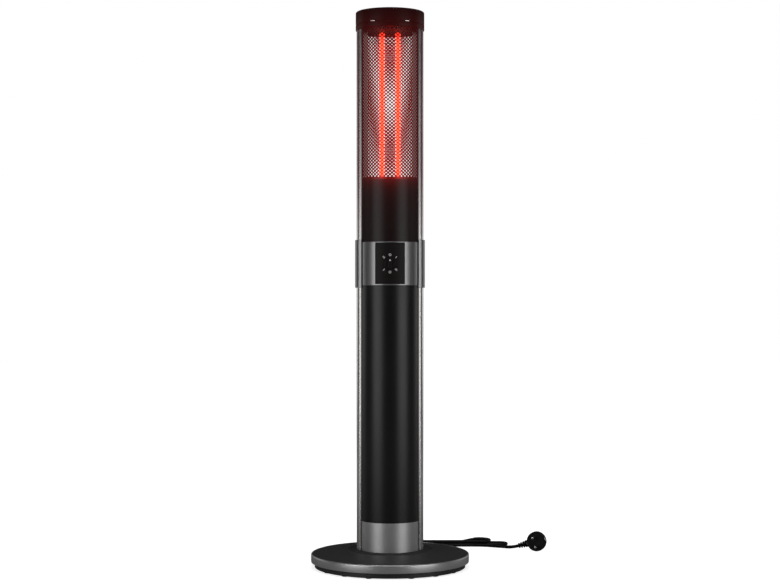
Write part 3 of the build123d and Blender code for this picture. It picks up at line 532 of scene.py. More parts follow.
def guard_paint(name, colour):
    """The guard's black paint, with the red light of the lamps behind its holes painted on as a glow."""
    low, high = lamp_zone()
    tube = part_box("lamp_tube_right")
    finish = Finish(name)
    peel = finish.noise(1500.0, 3.0)
    cloud = finish.noise(9.0, 3.0)
    where = finish.where()
    up, across = where.part("Z"), abs(where.part("X"))
    level = finish.vector_math("MULTIPLY", where, (1.0, 1.0, 0.0))
    outwards = finish.vector_math("NORMALIZE", level)
    facing = finish.node("ShaderNodeNewGeometry", {}, {}, "Normal")
    inside = (0.0 - finish.vector_math("DOT_PRODUCT", outwards, facing, "Value")).clamped()
    edge = across.fade(0.036, 0.012)
    # Painted light in front of the lamps: a wide halo and a tight stripe for each, and a glow on the inner
    # faces.
    away = (across - (tube[0].x + tube[1].x) / 2) / HALO_WIDTH
    tight = away * 2.5
    halo = 0.17 / (1.0 + away * away)
    stripe = 0.2 / (1.0 + tight * tight * tight * tight)
    beside = up.fade(low - 0.004, 0.004) * up.fade(high - 0.012, -0.004)
    painted_glow = beside * (halo * (1.0 - edge * 0.7) + stripe + inside * 0.14)
    # Below them: painted light that spills on the plain skirt.
    wide = across / SPILL_WIDTH
    below = finish.math("MAXIMUM", (low - up) / 0.011, 0.0)
    spill = 0.09 / ((1.0 + below * below) * (1.0 + wide * wide)) + 0.012 / (1.0 + below * 0.3)
    return finish.shade(
        Base_Color=finish.blend(cloud, colour, toned(colour, 1.3)),
        Roughness=(0.34 + cloud * 0.06 + peel * 0.04 + edge * 0.4).clamped(),
        Specular_IOR_Level=0.2,
        Emission_Color=finish.blend((painted_glow + spill).clamped(), BLACK, scene_colour("painted_lamp_light")),
        Emission_Strength=1.0,
        Normal=finish.bump(peel, 0.00002, 0.5),
    )


def quartz(name, colour):
    """The lamps' clear quartz tubes, with a faint red glow painted on them."""
    finish = Finish(name)
    streak = finish.noise(220.0, 2.0, (1.0, 1.0, 0.05))
    return finish.shade(
        Base_Color=finish.blend(streak, colour, (1.0, 0.97, 0.95, 1.0)),
        Transmission_Weight=1.0,
        IOR=1.46,
        Roughness=(0.02 + streak * 0.05).clamped(),
        # A faint painted glow of the element's light in the quartz.
        Emission_Color=(1.0, 0.05, 0.015, 1.0),
        Emission_Strength=0.4,
    )


def hot_carbon(name, glow):
    """The glowing element, a little dimmer at its two ends."""
    low, high = lamp_zone()
    finish = Finish(name)
    up = finish.where().part("Z")
    ends = up.fade(low, 0.012) * up.fade(high - 0.006, -0.014)
    wave = finish.noise(300.0, 2.0)
    return finish.shade(
        Base_Color=(0.05, 0.02, 0.015, 1.0),
        Roughness=(0.7 + wave * 0.1).clamped(),
        Emission_Color=finish.blend(ends * (0.75 + wave * 0.5), (glow[0] * 0.25, 0.0, 0.0, 1.0), glow),
        Emission_Strength=4.0,
    )


# Each finish: its maker, its name, its colour or the panel's word for it, and
# the maker's other numbers.
FINISHES = {
    "black_paint": (powder_coat, "black paint", "black", 0.34, 0.0, 0.3),
    "silver_paint": (powder_coat, "silver paint", "silver", 0.34, 0.8),
    # The collar's finish is the silver paint made darker as painted shade, since the softboxes light the
    # collar more.
    "collar_paint": (powder_coat, "collar paint", "collar", 0.34, 0.8),
    "baked_steel": (powder_coat, "baked steel", (0.02, 0.012, 0.011), 0.62, 0.3),
    "dial_white": (powder_coat, "dial print", (0.85, 0.84, 0.83), 0.5),
    "dome_paint": (dome_paint, "dome paint", "dome"),
    "guard_paint": (guard_paint, "guard paint", "black"),
    "cap_paint": (cap_plastic, "cap plastic", "cap"),
    "anodised": (anodised, "anodised aluminium", "aluminium", 0.24, POST_SHADE_EDGE),
    "aluminium": (anodised, "plain aluminium", (0.6, 0.6, 0.61), 0.4),
    "lamp_lit": (lamp_lit, "lamp-lit aluminium", "aluminium", 0.3),
    "black_plastic": (moulded, "black plastic", (0.012, 0.012, 0.013), 0.5),
    "ivory_plastic": (moulded, "ivory plastic", (0.7, 0.64, 0.5), 0.45),
    "red_plastic": (moulded, "red plastic", (0.5, 0.02, 0.015), 0.4),
    "rubber": (moulded, "black rubber", (0.0045, 0.0045, 0.0048), 0.55, 1300.0, 0.00004, 0.25),
    "cord_rubber": (moulded, "cord rubber", "cord", 0.5, 1800.0, 0.00003, 0.25),
    "gloss_black": (gloss_black, "satin black", (0.0068, 0.0056, 0.0052), 0.44),
    # A pale gloss for the cap's painted glints.
    "gloss_lip": (gloss_black, "gloss lip", (0.62, 0.54, 0.51), 0.05, 0.8),
    "steel": (bright_metal, "zinc-plated screws", (0.6, 0.6, 0.62), 0.32),
    "nickel": (bright_metal, "nickel plate", (0.72, 0.7, 0.66), 0.2),
    "zinc_steel": (zinc_sheet, "zinc sheet", (0.5, 0.51, 0.53)),
    "cast_iron": (cast_iron, "cast iron", (0.06, 0.058, 0.056)),
    "white_ceramic": (ceramic, "white ceramic", (0.42, 0.4, 0.37)),
    "quartz": (quartz, "clear quartz", (1.0, 0.93, 0.9)),
    "lamp_glow": (hot_carbon, "hot carbon", "glow"),
}
MADE = {}


def finish_for(key):
    """The heater's finish of that name, made the first time it is asked for."""
    if key not in MADE:
        maker, name, colour, *numbers = FINISHES[key]
        colour = scene_colour(colour) if isinstance(colour, str) else (*colour, 1.0)
        MADE[key] = maker(name, colour, *numbers)
    return MADE[key]


# ---- shapes ----
def soften(points, steps=5):
    """An open outline whose corners (x, y, radius) are rounded."""
    result = []
    for i, (x, y, radius) in enumerate(points):
        here = Vector((x, y))
        if radius <= 0 or i in (0, len(points) - 1):
            result.append((x, y))
            continue
        back = (Vector(points[i - 1][:2]) - here).normalized()
        ahead = (Vector(points[i + 1][:2]) - here).normalized()
        half = acos(max(-1.0, min(1.0, back.dot(ahead)))) / 2
        reach = radius / tan(half)
        centre = here + (back + ahead).normalized() * (radius / sin(half))
        start, end = here + back * reach - centre, here + ahead * reach - centre
        turn = start.angle_signed(end)
        for k in range(steps + 1):
            spot = centre + Matrix.Rotation(-turn * k / steps, 2) @ start
            result.append((spot.x, spot.y))
    return result


def ball(start, end, steps):
    """Points of a ball centred on the axis, between two (radius, height) places."""
    (r1, z1), (r2, z2) = start, end
    centre = (r2**2 - r1**2 + z2**2 - z1**2) / (2 * (z2 - z1))
    size = sqrt(r1**2 + (z1 - centre) ** 2)
    radii = [r1 + (r2 - r1) * k / steps for k in range(steps + 1)]
    return [(r, centre + sqrt(size**2 - r**2)) for r in radii]


def front_arc(radius, angles):
    """Points in plan on a circle; angle 0 is the front and they run to the right."""
    return [(radius * sin(angle), -radius * cos(angle)) for angle in angles]


def spread(reach, steps):
    """Even angles from -reach to reach."""
    return [reach * (2 * k / steps - 1) for k in range(steps + 1)]


def new_piece(name, mesh):
    """Puts a mesh in the scene as an object of that name."""
    thing = bpy.data.objects.new(name, mesh)
    bpy.context.scene.collection.objects.link(thing)
    return thing


def gathered(meshes):
    """Several meshes in one bmesh."""
    bm = bmesh.new()
    for mesh in meshes:
        bm.from_mesh(mesh)
    return bm


def kept(name, bm, sharp=None):
    """Turns a bmesh into a smooth mesh whose edges of more than sharp degrees stay sharp."""
    mesh = bpy.data.meshes.new(name)
    bm.to_mesh(mesh)
    bm.free()
    mesh.shade_smooth()
    if sharp:
        mesh.set_sharp_from_angle(angle=radians(sharp))
    return mesh


def closed(name, bm, place=None, sharp=None):
    """The same of a closed shape, with doubles removed and its faces turned outwards."""
    bmesh.ops.remove_doubles(bm, verts=bm.verts, dist=1e-7)
    bmesh.ops.recalc_face_normals(bm, faces=bm.faces)
    if place is not None:
        bmesh.ops.transform(bm, matrix=place, verts=bm.verts)
    return kept(name, bm, sharp)


def turned(name, outline, steps, ring=False, place=None, sharp=35.0):
    """A turned piece from (radius, height) points; ring closes the outline on itself."""
    bm = bmesh.new()
    rows = []
    for radius, height in outline:
        count = steps if radius > 1e-7 else 1
        angles = [2 * pi * k / steps for k in range(count)]
        rows.append([bm.verts.new((radius * cos(a), radius * sin(a), height)) for a in angles])
    pairs = list(zip(rows, rows[1:]))
    if ring:
        pairs.append((rows[-1], rows[0]))
    for low, high in pairs:
        for k in range(steps):
            after = (k + 1) % steps
            corners = []
            for row, i in ((low, k), (low, after), (high, after), (high, k)):
                vert = row[i] if len(row) > 1 else row[0]
                if vert not in corners:
                    corners.append(vert)
            if len(corners) > 2:
                bm.faces.new(corners)
    return closed(name, bm, place, sharp)


def prism(name, outline, low, high, place=None):
    """A closed outline pulled up between two heights."""
    bm = bmesh.new()
    bottom = [bm.verts.new((x, y, low)) for x, y in outline]
    top = [bm.verts.new((x, y, high)) for x, y in outline]
    bm.faces.new(bottom)
    bm.faces.new(top)
    for i in range(len(outline)):
        j = (i + 1) % len(outline)
        bm.faces.new((bottom[i], bottom[j], top[j], top[i]))
    return closed(name, bm, place)


def bent_sheet(name, path, heights, window=None):
    """One face of a bent sheet: a path in plan, pulled up through heights.

    window is (half width, low, high), a rectangle that is left open.
    """
    bm = bmesh.new()
    rows = [[bm.verts.new((x, y, z)) for x, y in path] for z in heights]
    for low, high, z in zip(rows, rows[1:], heights):
        for i in range(len(path) - 1):
            middle = (path[i][0] + path[i + 1][0]) / 2
            if window and abs(middle) < window[0] and window[1] - 1e-6 <= z < window[2] - 1e-6:
                continue
            bm.faces.new((low[i], low[i + 1], high[i + 1], high[i]))
    return kept(name, bm)


def settle(thing):
    """Turns a piece's modifiers into its plain mesh."""
    view = bpy.context.evaluated_depsgraph_get()
    mesh = bpy.data.meshes.new_from_object(thing.evaluated_get(view))
    thing.modifiers.clear()
    old = thing.data
    thing.data = mesh
    bpy.data.meshes.remove(old)
    return thing


def thicken(thing, thickness):
    """Gives a sheet its thickness, inwards."""
    solid = thing.modifiers.new("Thickness", "SOLIDIFY")
    solid.thickness = thickness
    solid.offset = -1.0
    solid.use_even_offset = True


def ease(thing, width, segments=2):
    """Rounds a piece's sharp edges."""
    bevel = thing.modifiers.new("Edges", "BEVEL")
    bevel.width = width
    bevel.segments = segments
    bevel.limit_method = "ANGLE"
    bevel.angle_limit = radians(38)
    bevel.harden_normals = True


def dress(thing, finish, body="heater", replaces=()):
    """Gives a piece its finish, its body and the nodes it stands for."""
    if not thing.data.materials:
        thing.data.materials.append(finish_for(finish))
    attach(thing, body)
    if replaces:
        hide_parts(*replaces)
    return thing


def about(mesh):
    """The same mesh turned half round the column."""
    turn = mesh.copy()
    turn.transform(Matrix.Rotation(pi, 4, "Z"))
    return turn


def place_pair(name, node, ends, mesh, finish, slot, edge, segments=2, sheet=0.0, other=None):
    """Two like pieces on opposite sides of the column, which stand for two nodes.

    other is the second piece's mesh, as it would stand in the first one's
    place, where the two differ.
    """
    for end, side in zip(ends, (mesh, about(other or mesh))):
        thing = new_piece(name + "_" + end, side)
        if sheet:
            thicken(thing, sheet)
        ease(thing, edge, segments)
        dress(thing, finish, replaces=[node + "_" + end])


def put_in_row(thing, finish, count, start, step, fade=0.0):
    """Repeats a piece in a row."""
    return row_maker().grow(thing, finish, Count=count, Start=start, Step=step, Fade=fade)


def placed(spot, angle, axis):
    """A turn about one axis, and a place."""
    return Matrix.Translation(spot) @ Matrix.Rotation(angle, 4, axis)


# ---- what a user may change ----
def length_property(name, description, default):
    """A size in metres."""
    return FloatProperty(name=name, description=description, default=default, unit="LENGTH")


def angle_property(name, description, degrees):
    """An angle, given here in degrees."""
    return FloatProperty(name=name, description=description, default=radians(degrees), unit="ROTATION")


def count_property(name, description, default):
    """A whole number."""
    return IntProperty(name=name, description=description, default=default)


def colour_property(name, description, *channels):
    """A colour that isn't see-through."""
    settings = {"subtype": "COLOR", "size": 4, "default": (*channels, 1.0)}
    return FloatVectorProperty(name=name, description=description, **settings)


class HeaterSizes(bpy.types.PropertyGroup):
    """Sizes of the heater's details."""

    hole: length_property("Hole", "Diameter of the guard's holes", 0.004)
    holes_round: count_property("Holes round", "Holes in a full turn of the guard", 48)
    columns: count_property("Columns", "Holes in the guard's lowest row", 17)
    mesh_sheet: length_property("Guard sheet", "Thickness of the guards", 0.0009)
    rows: count_property("Rows", "Rows of holes, an odd number", 87)
    row_rise: length_property("Row rise", "Height from one row of holes to the next", 0.00325)
    first_row: length_property("First row", "Height of the lowest row", 0.7397)
    sheet: length_property("Sheet", "Thickness of the covers", 0.0015)
    edge: length_property("Edge", "Rounding of the sheets' edges", 0.0004)
    post_corner: length_property("Post corner", "Radius of the posts' outer corners", 0.013)
    foot_radius: length_property("Foot radius", "Radius of a rubber foot", 0.0065)
    feet_side: count_property("Feet a side", "Rubber feet on each side", 8)
    foot_first: angle_property("First foot", "Angle of the first foot from the front", 16.5)
    foot_step: angle_property("Foot step", "Angle from one foot to the next", 21)
    ridge: length_property("Ridge", "Height of one turn of the lamps' elements", 0.0025)
    mark_circle: length_property("Mark circle", "Radius of the circle of dial marks", 0.0162)
    mark_height: length_property("Mark height", "Height of a dial mark", 0.005)
    mark_line: length_property("Mark line", "Width of a dial mark's line", 0.0009)
    cord_width: length_property("Cord width", "Diameter of the cord", 0.0065)


class HeaterColours(bpy.types.PropertyGroup):
    """Colours of the heater's finishes."""

    black: colour_property("Black paint", "Covers and guards", 0.0038, 0.0036, 0.0036)
    dome: colour_property("Dome", "Domed top of the base", 0.034, 0.033, 0.0327)
    silver: colour_property("Silver paint", "Rim and foot band", 0.5, 0.5, 0.505)
    # The rim's silver darkened as painted shade, against the softboxes' stronger light on the collar.
    collar: colour_property("Collar", "Collar's shells and sleeves", 0.21, 0.207, 0.21)
    aluminium: colour_property("Aluminium", "Posts", 0.58, 0.565, 0.56)
    # The cap's slight red is painted light of the lamps below it.
    cap: colour_property("Cap", "Cap on top", 0.0035, 0.0022, 0.0022)
    # Painted on the guards and the cap as the lamps' light.
    painted_lamp_light: colour_property("Warm tint", "Light of the lamps on the guard", 1.0, 0.035, 0.03)
    glow: colour_property("Glow", "Lamps", 1.0, 0.05, 0.012)
    cord: colour_property("Cord", "Cord and wiring", 0.004, 0.004, 0.0043)


# ---- the heater, piece by piece ----
class MakeBase(bpy.types.Operator):
    """Makes the round base: feet, silver ring and black domed top"""

    bl_idname = "heater.make_base"
    bl_label = "Base"

    def execute(self, context):
        sizes = context.scene.heater_sizes
        foot = sizes.foot_radius
        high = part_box("base_feet")[1].z
        outline = soften([
            (0, 0, 0), (foot - 0.0006, 0, 0.0008), (foot, 0.0012, 0.0008), (foot, high, 0.0003),
            (0, high, 0),
        ])
        feet = new_piece("rubber_feet", turned("foot", outline, 24))
        ring_maker().grow(
            feet, "rubber", Radius=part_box("base_tray")[1].x - FOOT_INSET, First=sizes.foot_first,
            Step=sizes.foot_step, Side=sizes.feet_side,
        )
        dress(feet, "rubber", replaces=["base_feet"])

        low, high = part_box("base_rim")
        wide = high.x
        flange, wall = wide - RIM_FLANGE, wide - RIM_WALL
        outline = soften([
            (flange, low.z + 0.001, 0), (flange, low.z, 0.0002), (wide, low.z, 0.0008),
            (wide, high.z, 0.0024), (wall, high.z, 0.0003), (wall, low.z + 0.002, 0.0002),
            (flange, low.z + 0.002, 0),
        ], 6)
        rim = new_piece("silver_ring", turned("ring", outline, 192, True))
        dress(rim, "silver_paint", replaces=["base_rim"])

        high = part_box("base_top")[1]
        skirt, flat, lip = high.x, high.z, high.z - DOME_LIP
        foot, inside = lip - DOME_RISE, skirt - DOME_SHEET
        outer = ball((DOME_FLAT, lip), (skirt, foot), 20)
        inner = ball((DOME_FLAT, lip - DOME_SHEET), (inside, foot - DOME_SHEET), 12)
        outline = [(0, flat), (0.04, flat)]
        outline += soften([
            (0.076, flat, 0), (DOME_FLAT - DOME_LIP, flat, 0.0008), (DOME_FLAT, lip, 0.0008),
            (*outer[1], 0),
        ], 3)
        outline += outer[2:-1]
        outline += soften([(*outer[-2], 0), (*outer[-1], 0.0007), (skirt, SKIRT_END, 0)], 4)[1:]
        outline += [(inside, SKIRT_END)] + inner[::-1] + [(0.0, inner[0][1])]
        top = new_piece("domed_top", turned("dome", outline, 192, True, sharp=40))
        dress(top, "dome_paint", replaces=["base_top"])
        return {"FINISHED"}


def cover_path(radius, half, front):
    """The plan of a front cover, from its left return to its right one."""
    arc = front_arc(radius, spread(asin(min(1.0, half / radius)), 64))
    corner = [(half, -front)] if abs(arc[0][1]) > front + 1e-6 else []
    inner = half - COVER_RETURN
    return [(-inner, -front)] + [(-x, y) for x, y in corner] + arc + corner + [(inner, -front)]


class MakeCovers(bpy.types.Operator):
    """Makes the silver foot band and the black covers, front and back"""

    bl_idname = "heater.make_covers"
    bl_label = "Covers and foot band"

    def execute(self, context):
        sizes = context.scene.heater_sizes
        for node, name, paint in (
            ("foot_band", "foot_band", "silver_paint"),
            ("lower_cover", "tall_cover", "black_paint"),
        ):
            low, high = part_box(node + "_front")
            radius, front = -low.y, -high.y
            path = cover_path(radius, sqrt(radius**2 - front**2), front)
            mesh = bent_sheet(name, path, [low.z, high.z])
            place_pair(name, node, FRONT_REAR, mesh, paint, paint, sizes.edge, sheet=sizes.sheet)
        return {"FINISHED"}


def post_path(high, corner, grow=0.0, steps=14):
    """The outside of the right-hand post in plan, from its front face round to its back.

    high is the post's far upper corner and grow how far outside the post it runs.
    """
    radius = corner + grow
    x, y = high.x + grow - radius, high.y + grow - radius
    arc = front_arc(radius, [k * pi / 2 / steps for k in range(steps + 1)])
    front = [(x + across, along - y) for across, along in arc]
    return front + [(across, -along) for across, along in front[::-1]]


class MakePosts(bpy.types.Operator):
    """Makes the four lengths of post"""

    bl_idname = "heater.make_posts"
    bl_label = "Posts"

    def execute(self, context):
        sizes = context.scene.heater_sizes
        for part, paint in (("lower", "anodised"), ("upper", "lamp_lit")):
            node = part + "_post"
            low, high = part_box(node + "_right")
            outline = [(low.x + 0.001, low.y)] + post_path(high, sizes.post_corner)
            outline += [(low.x + 0.001, high.y), (low.x, high.y - 0.001), (low.x, low.y + 0.001)]
            mesh = prism("post", outline, low.z, high.z)
            place_pair(node + "_profile", node, RIGHT_LEFT, mesh, paint, "anodised", 0.0003)
        return {"FINISHED"}


class MakeCollar(bpy.types.Operator):
    """Makes the silver collar: two shells, two sleeves and the rear screws"""

    bl_idname = "heater.make_collar"
    bl_label = "Collar"

    def execute(self, context):
        sizes = context.scene.heater_sizes
        finishes = "collar_paint", "silver_paint"
        low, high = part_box("collar_front")
        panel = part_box("control_fascia")
        radius, front, half = -low.y, -high.y, high.x
        window = (panel[1].x + SLIP, panel[0].z - SLIP, panel[1].z + SLIP)
        path = cover_path(radius, half, front)
        # The window's sides take the nearest points of the curve.
        curve = [i for i, spot in enumerate(path) if abs(spot[0]) < half - 0.003]
        for x in (-window[0], window[0]):
            nearest = min(curve, key=lambda i: abs(path[i][0] - x))
            path[nearest] = (x, -sqrt(radius**2 - x**2))
        face = bent_sheet("collar_shell", path, [low.z, window[1], window[2], high.z], window)
        place_pair(
            "collar_shell", "collar", FRONT_REAR, face, *finishes, sizes.edge * 1.5, sheet=COLLAR_SHEET,
            other=bent_sheet("collar_back", path, [low.z, high.z]),
        )

        low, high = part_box("collar_sleeve_right")
        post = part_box("lower_post_right")[1]
        corner = sizes.post_corner
        faces = []
        for grow in (high.x - post.x, SLIP):
            path = [spot for spot in post_path(post, corner, grow, 24) if spot[0] > low.x]
            y = post.y - corner + sqrt((corner + grow) ** 2 - (low.x - post.x + corner) ** 2)
            faces.append([(low.x, -y)] + path + [(low.x, y)])
        mesh = prism("sleeve", faces[0] + faces[1][::-1], low.z, high.z)
        place_pair("post_sleeve", "collar_sleeve", RIGHT_LEFT, mesh, *finishes, 0.0008, segments=3)

        low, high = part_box("collar_screws")
        head, end = SCREW_HEAD, 0.0114
        outline = soften([
            (0, 0, 0), (0.0017, 0, 0), (0.0017, 0.0095, 0), (head, 0.0095, 0.0003),
            (head, 0.0112, 0.0005), (0.0022, end, 0), (0.0012, 0.0108, 0), (0, 0.0106, 0),
        ], 3)
        place = placed((0, high.y - end, 0), -pi / 2, "X")
        screws = new_piece("shell_screws", turned("shell_screw", outline, 32, place=place))
        step = high.z - low.z - 2 * head
        put_in_row(screws, "steel", 2, (0.0, 0.0, low.z + head), (0.0, 0.0, step))
        dress(screws, "steel", replaces=["collar_screws"])
        return {"FINISHED"}


def dial_strokes(word, tall, thin):
    """The strokes of a dial mark, lying flat round the origin."""
    if word == "0":
        big = tall * 0.46
        small = big - thin * 0.8
        return [turned("mark", [(big, 0), (big, PRINT), (small, PRINT), (small, 0)], 24, True)]
    strokes = []
    for off in (0.0,) if word == "I" else (-thin, thin):
        left, right = off - thin / 2, off + thin / 2
        bar = [(left, -tall / 2), (right, -tall / 2), (right, tall / 2), (left, tall / 2)]
        strokes.append(prism("mark", bar, 0, PRINT))
    return strokes


class MakeControl(bpy.types.Operator):
    """Makes the control panel, its dial marks and the knob"""

    bl_idname = "heater.make_control"
    bl_label = "Control panel"

    def execute(self, context):
        sizes = context.scene.heater_sizes
        low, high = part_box("control_fascia")
        radius, half, inside = -low.y, high.x, -low.y - FASCIA_SHEET
        outer = front_arc(radius, spread(asin(half / radius), 40))
        inner = front_arc(inside, spread(asin(half / inside), 40))
        panel = new_piece("control_panel", prism("panel", outer + inner[::-1], low.z, high.z))
        ease(panel, 0.0005, 3)
        dress(panel, "gloss_black", replaces=["control_fascia"])

        low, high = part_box("knob")
        middle = (low.z + high.z) / 2
        marks = []
        for word, angle in (("0", 0), ("I", 45), ("II", 135), ("0", 180), ("I", 225), ("II", 315)):
            turn = Matrix.Rotation(-radians(angle), 4, "Z") @ Matrix.Translation((0, sizes.mark_circle, 0))
            for mesh in dial_strokes(word, sizes.mark_height, sizes.mark_line):
                mesh.transform(turn)
                # Wrapped on the panel's curve.
                for vert in mesh.vertices:
                    x, up, out = vert.co
                    vert.co = (x, -sqrt((radius + out) ** 2 - x**2), middle + up)
                marks.append(mesh)
        dial = new_piece("dial_marks", closed("dial_marks", gathered(marks)))
        dress(dial, "dial_white")

        wide, back, front = high.x, -high.y, -low.y
        face = placed((0, 0, middle), pi / 2, "X")
        outline = soften([
            (0, back, 0), (wide, back, 0.0004), (wide, back + 0.003, 0.0008),
            (wide - 0.001, back + 0.0034, 0.0002), (wide - 0.0013, back + 0.0056, 0.0008),
            (0, back + 0.006, 0),
        ], 4)
        skirt = turned("knob_skirt", outline, 72, place=face)
        reach = wide - 0.0008
        tip = [(across, -along) for across, along in front_arc(reach, spread(asin(KNOB_GRIP / reach), 8))]
        bar = prism("knob_bar", tip + [(-x, -y) for x, y in tip], back + 0.002, front)
        thing = new_piece("knob_bar", bar)
        ease(thing, 0.0009, 4)
        bar = settle(thing).data
        bpy.data.objects.remove(thing)
        bar.transform(face)
        knob = new_piece("switch_knob", kept("knob", gathered([skirt, bar]), 32))
        dress(knob, "gloss_black", "control_knob", ["knob"])

        under, over, dot = front - 0.0003, front + 0.00004, 0.0014
        outline = soften([(0, under, 0), (dot, under, 0), (dot, over, 0.0001), (0, over, 0)], 2)
        place = Matrix.Translation((0, 0, POINTER_RISE)) @ face
        pointer = new_piece("knob_pointer", turned("dot", outline, 20, place=place))
        dress(pointer, "dial_white", "control_knob")
        return {"FINISHED"}


def guard_margin(low, high, side, half, sizes):
    """The plain sheet round the guard's holes, laid out flat.

    It runs from low to high and from -side to side; half is half the distance
    from one hole to the next.
    """
    rise, first, reach = sizes.row_rise, sizes.first_row, sizes.columns
    last = first + (sizes.rows - 1) * rise
    bm = bmesh.new()
    spots = {}

    def quad(*points):
        """A face whose corners are shared with its neighbours."""
        corners = []
        for x, y in points:
            key = (round(x, 7), round(y, 7))
            if key not in spots:
                spots[key] = bm.verts.new((x, y, 0))
            corners.append(spots[key])
        bm.faces.new(corners)

    for j in range(-reach, reach):
        a, b = j * half, (j + 1) * half
        dip_a, dip_b = (0, rise) if j % 2 else (rise, 0)
        quad((a, low), (b, low), (b, first - dip_b), (a, first - dip_a))
        quad((a, last + dip_a), (b, last + dip_b), (b, high), (a, high))
    for hand in (-1, 1):
        edge, ends = hand * side, hand * reach * half
        rows = [((edge, low), (ends, low)), ((edge, first), (ends, first))]
        for r in range(1, sizes.rows):
            up = first + r * rise
            rows.append(((edge, up), (ends - hand * (r % 2) * half, up)))
        rows.append(((edge, high), (ends, high)))
        for (a, b), (c, d) in zip(rows, rows[1:]):
            quad(a, b, d, c) if hand < 0 else quad(b, a, c, d)
    return kept("margin", bm)


class MakeGuards(bpy.types.Operator):
    """Makes the perforated guards of the head, front and back"""

    bl_idname = "heater.make_guards"
    bl_label = "Guards"

    def execute(self, context):
        sizes = context.scene.heater_sizes
        low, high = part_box("guard_front")
        radius, front = -low.y, -high.y
        pitch = 2 * pi * radius / sizes.holes_round
        side = radius * asin(sqrt(radius**2 - front**2) / radius)
        margin = guard_margin(low.z, high.z, side, pitch / 2, sizes)
        sheet = new_piece("perforated_guard_front", margin)
        guard_maker().grow(
            sheet, "guard_paint", Hole=sizes.hole, Pitch=pitch, Rise=sizes.row_rise, First=sizes.first_row,
            Columns=sizes.columns, Rows=sizes.rows, Radius=radius,
        )
        sheet.data.shade_smooth()
        back = new_piece("perforated_guard_rear", about(sheet.data))
        for guard, node in ((sheet, "guard_front"), (back, "guard_rear")):
            thicken(guard, sizes.mesh_sheet)
            settle(guard).data.set_sharp_from_angle(angle=radians(40))
            dress(guard, "guard_paint", replaces=[node])
        return {"FINISHED"}


class MakeLamps(bpy.types.Operator):
    """Makes the two quartz tubes and their glowing elements"""

    bl_idname = "heater.make_lamps"
    bl_label = "Lamps"

    def execute(self, context):
        ridge = context.scene.heater_sizes.ridge
        for word in ("left", "right"):
            low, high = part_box("lamp_tube_" + word)
            place = Matrix.Translation(((low.x + high.x) / 2, 0, 0))
            wide = (high.x - low.x) / 2
            bore = wide - TUBE_WALL
            outline = [(wide, low.z), (wide, high.z), (bore, high.z), (bore, low.z)]
            tube = new_piece("quartz_tube_" + word, turned("tube", outline, 40, True, place))
            dress(tube, "quartz", replaces=["lamp_tube_" + word])

            low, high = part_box("lamp_element_" + word)
            wide = (high.x - low.x) / 2
            waist = wide * 0.8
            bead = soften([
                (0, 0, 0), (waist, 0, 0), (wide, ridge / 2, ridge * 0.3), (waist, ridge, 0), (0, ridge, 0),
            ], 3)
            element = new_piece("glowing_element_" + word, turned("turn", bead, 20, place=place))
            count = int((high.z - low.z) / ridge)
            put_in_row(element, "lamp_glow", count, (0.0, 0.0, low.z), (0.0, 0.0, ridge))
            dress(element, "lamp_glow", replaces=["lamp_element_" + word])
        return {"FINISHED"}


class MakeCap(bpy.types.Operator):
    """Makes the cap with the fine groove round its side, and two painted glints in the groove"""

    bl_idname = "heater.make_cap"
    bl_label = "Cap"

    def execute(self, context):
        low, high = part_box("top_cap")
        wide, top, bottom = high.x, high.z, low.z
        side, groove, bore = top - CAP_CROWN, bottom + CAP_GROOVE_RISE, wide - CAP_WALL
        crown = ball((wide - 0.0025, side), (0, top), 14)
        outline = soften([
            (bore, bottom + 0.004, 0), (bore, bottom, 0.0003), (wide, bottom, 0.0006),
            (wide, groove - CAP_GROOVE, 0.0003), (wide - CAP_GROOVE, groove, 0.0002),
            (wide, groove + CAP_GROOVE, 0.0003), (wide, side, 0.0025), (*crown[2], 0),
        ], 5)
        outline += crown[3:] + [(0, side - CAP_WALL), (bore, side - CAP_WALL)]
        cap = new_piece("head_cap", turned("cap", outline, 160, True, sharp=50))
        dress(cap, "cap_paint", replaces=["top_cap"])

        # Two painted glints in the groove: small pale glossy pieces, leaning back at their lower edge, that
        # stand for the light its lip catches.
        seat, lean, aside = wide + 0.0002, 0.00016, 0.52
        catches = []
        for middle in (-aside, aside):
            turns = [middle + angle for angle in spread(0.062, 8)]
            outline = front_arc(seat, turns) + front_arc(seat - 0.001, turns)[::-1]
            catches.append(prism("catch", outline, groove - 0.0007, groove + 0.0007))
        bm = gathered(catches)
        for vert in bm.verts:
            if vert.co.z < groove:
                vert.co.xy *= 1.0 - lean / seat
        dress(new_piece("cap_catches", closed("catches", bm, sharp=30)), "gloss_lip")
        return {"FINISHED"}


# The plug's face, the direction it looks in and the one its cable leaves in.
PLUG_FACE = Vector((0.294, 0.184, 0.0198))
PLUG_OUT = Vector((-0.342020, -0.939693, 0.0))
PLUG_CABLE = Vector((-0.898633, 0.327075, -0.292372))


def plug_place():
    """The plug's own frame: z out of its face and x along its cable."""
    turn = Matrix((PLUG_CABLE, PLUG_OUT.cross(PLUG_CABLE), PLUG_OUT)).transposed()
    return Matrix.Translation(PLUG_FACE) @ turn.to_4x4()


def ribbed_sleeve(name, place, start, length, root, tip, ribs, rib_width):
    """A strain relief with ribs, which tapers from root to tip, both radii.

    place turns its z axis along the cable.
    """
    end, thin = start + length, rib_width / 2
    core = [(0, start, 0), (root * 0.5, start, 0.0003), (tip * 0.72, end, 0.0004), (0, end, 0)]
    core = turned(name, soften(core, 3), 40)
    rib = [(0, -thin, 0), (root, -thin, 0.0003), (root, thin, 0.0003), (0, thin, 0)]
    row = new_piece(name + "_ribs", turned("rib", soften(rib, 3), 40))
    step = (length - rib_width) / (ribs - 1)
    put_in_row(row, "rubber", ribs, (0.0, 0.0, start + thin), (0.0, 0.0, step), (1 - tip / root) / ribs)
    bm = gathered([core, row.data])
    bpy.data.objects.remove(row)
    bmesh.ops.transform(bm, matrix=place, verts=bm.verts)
    return new_piece(name, kept(name, bm, 40))


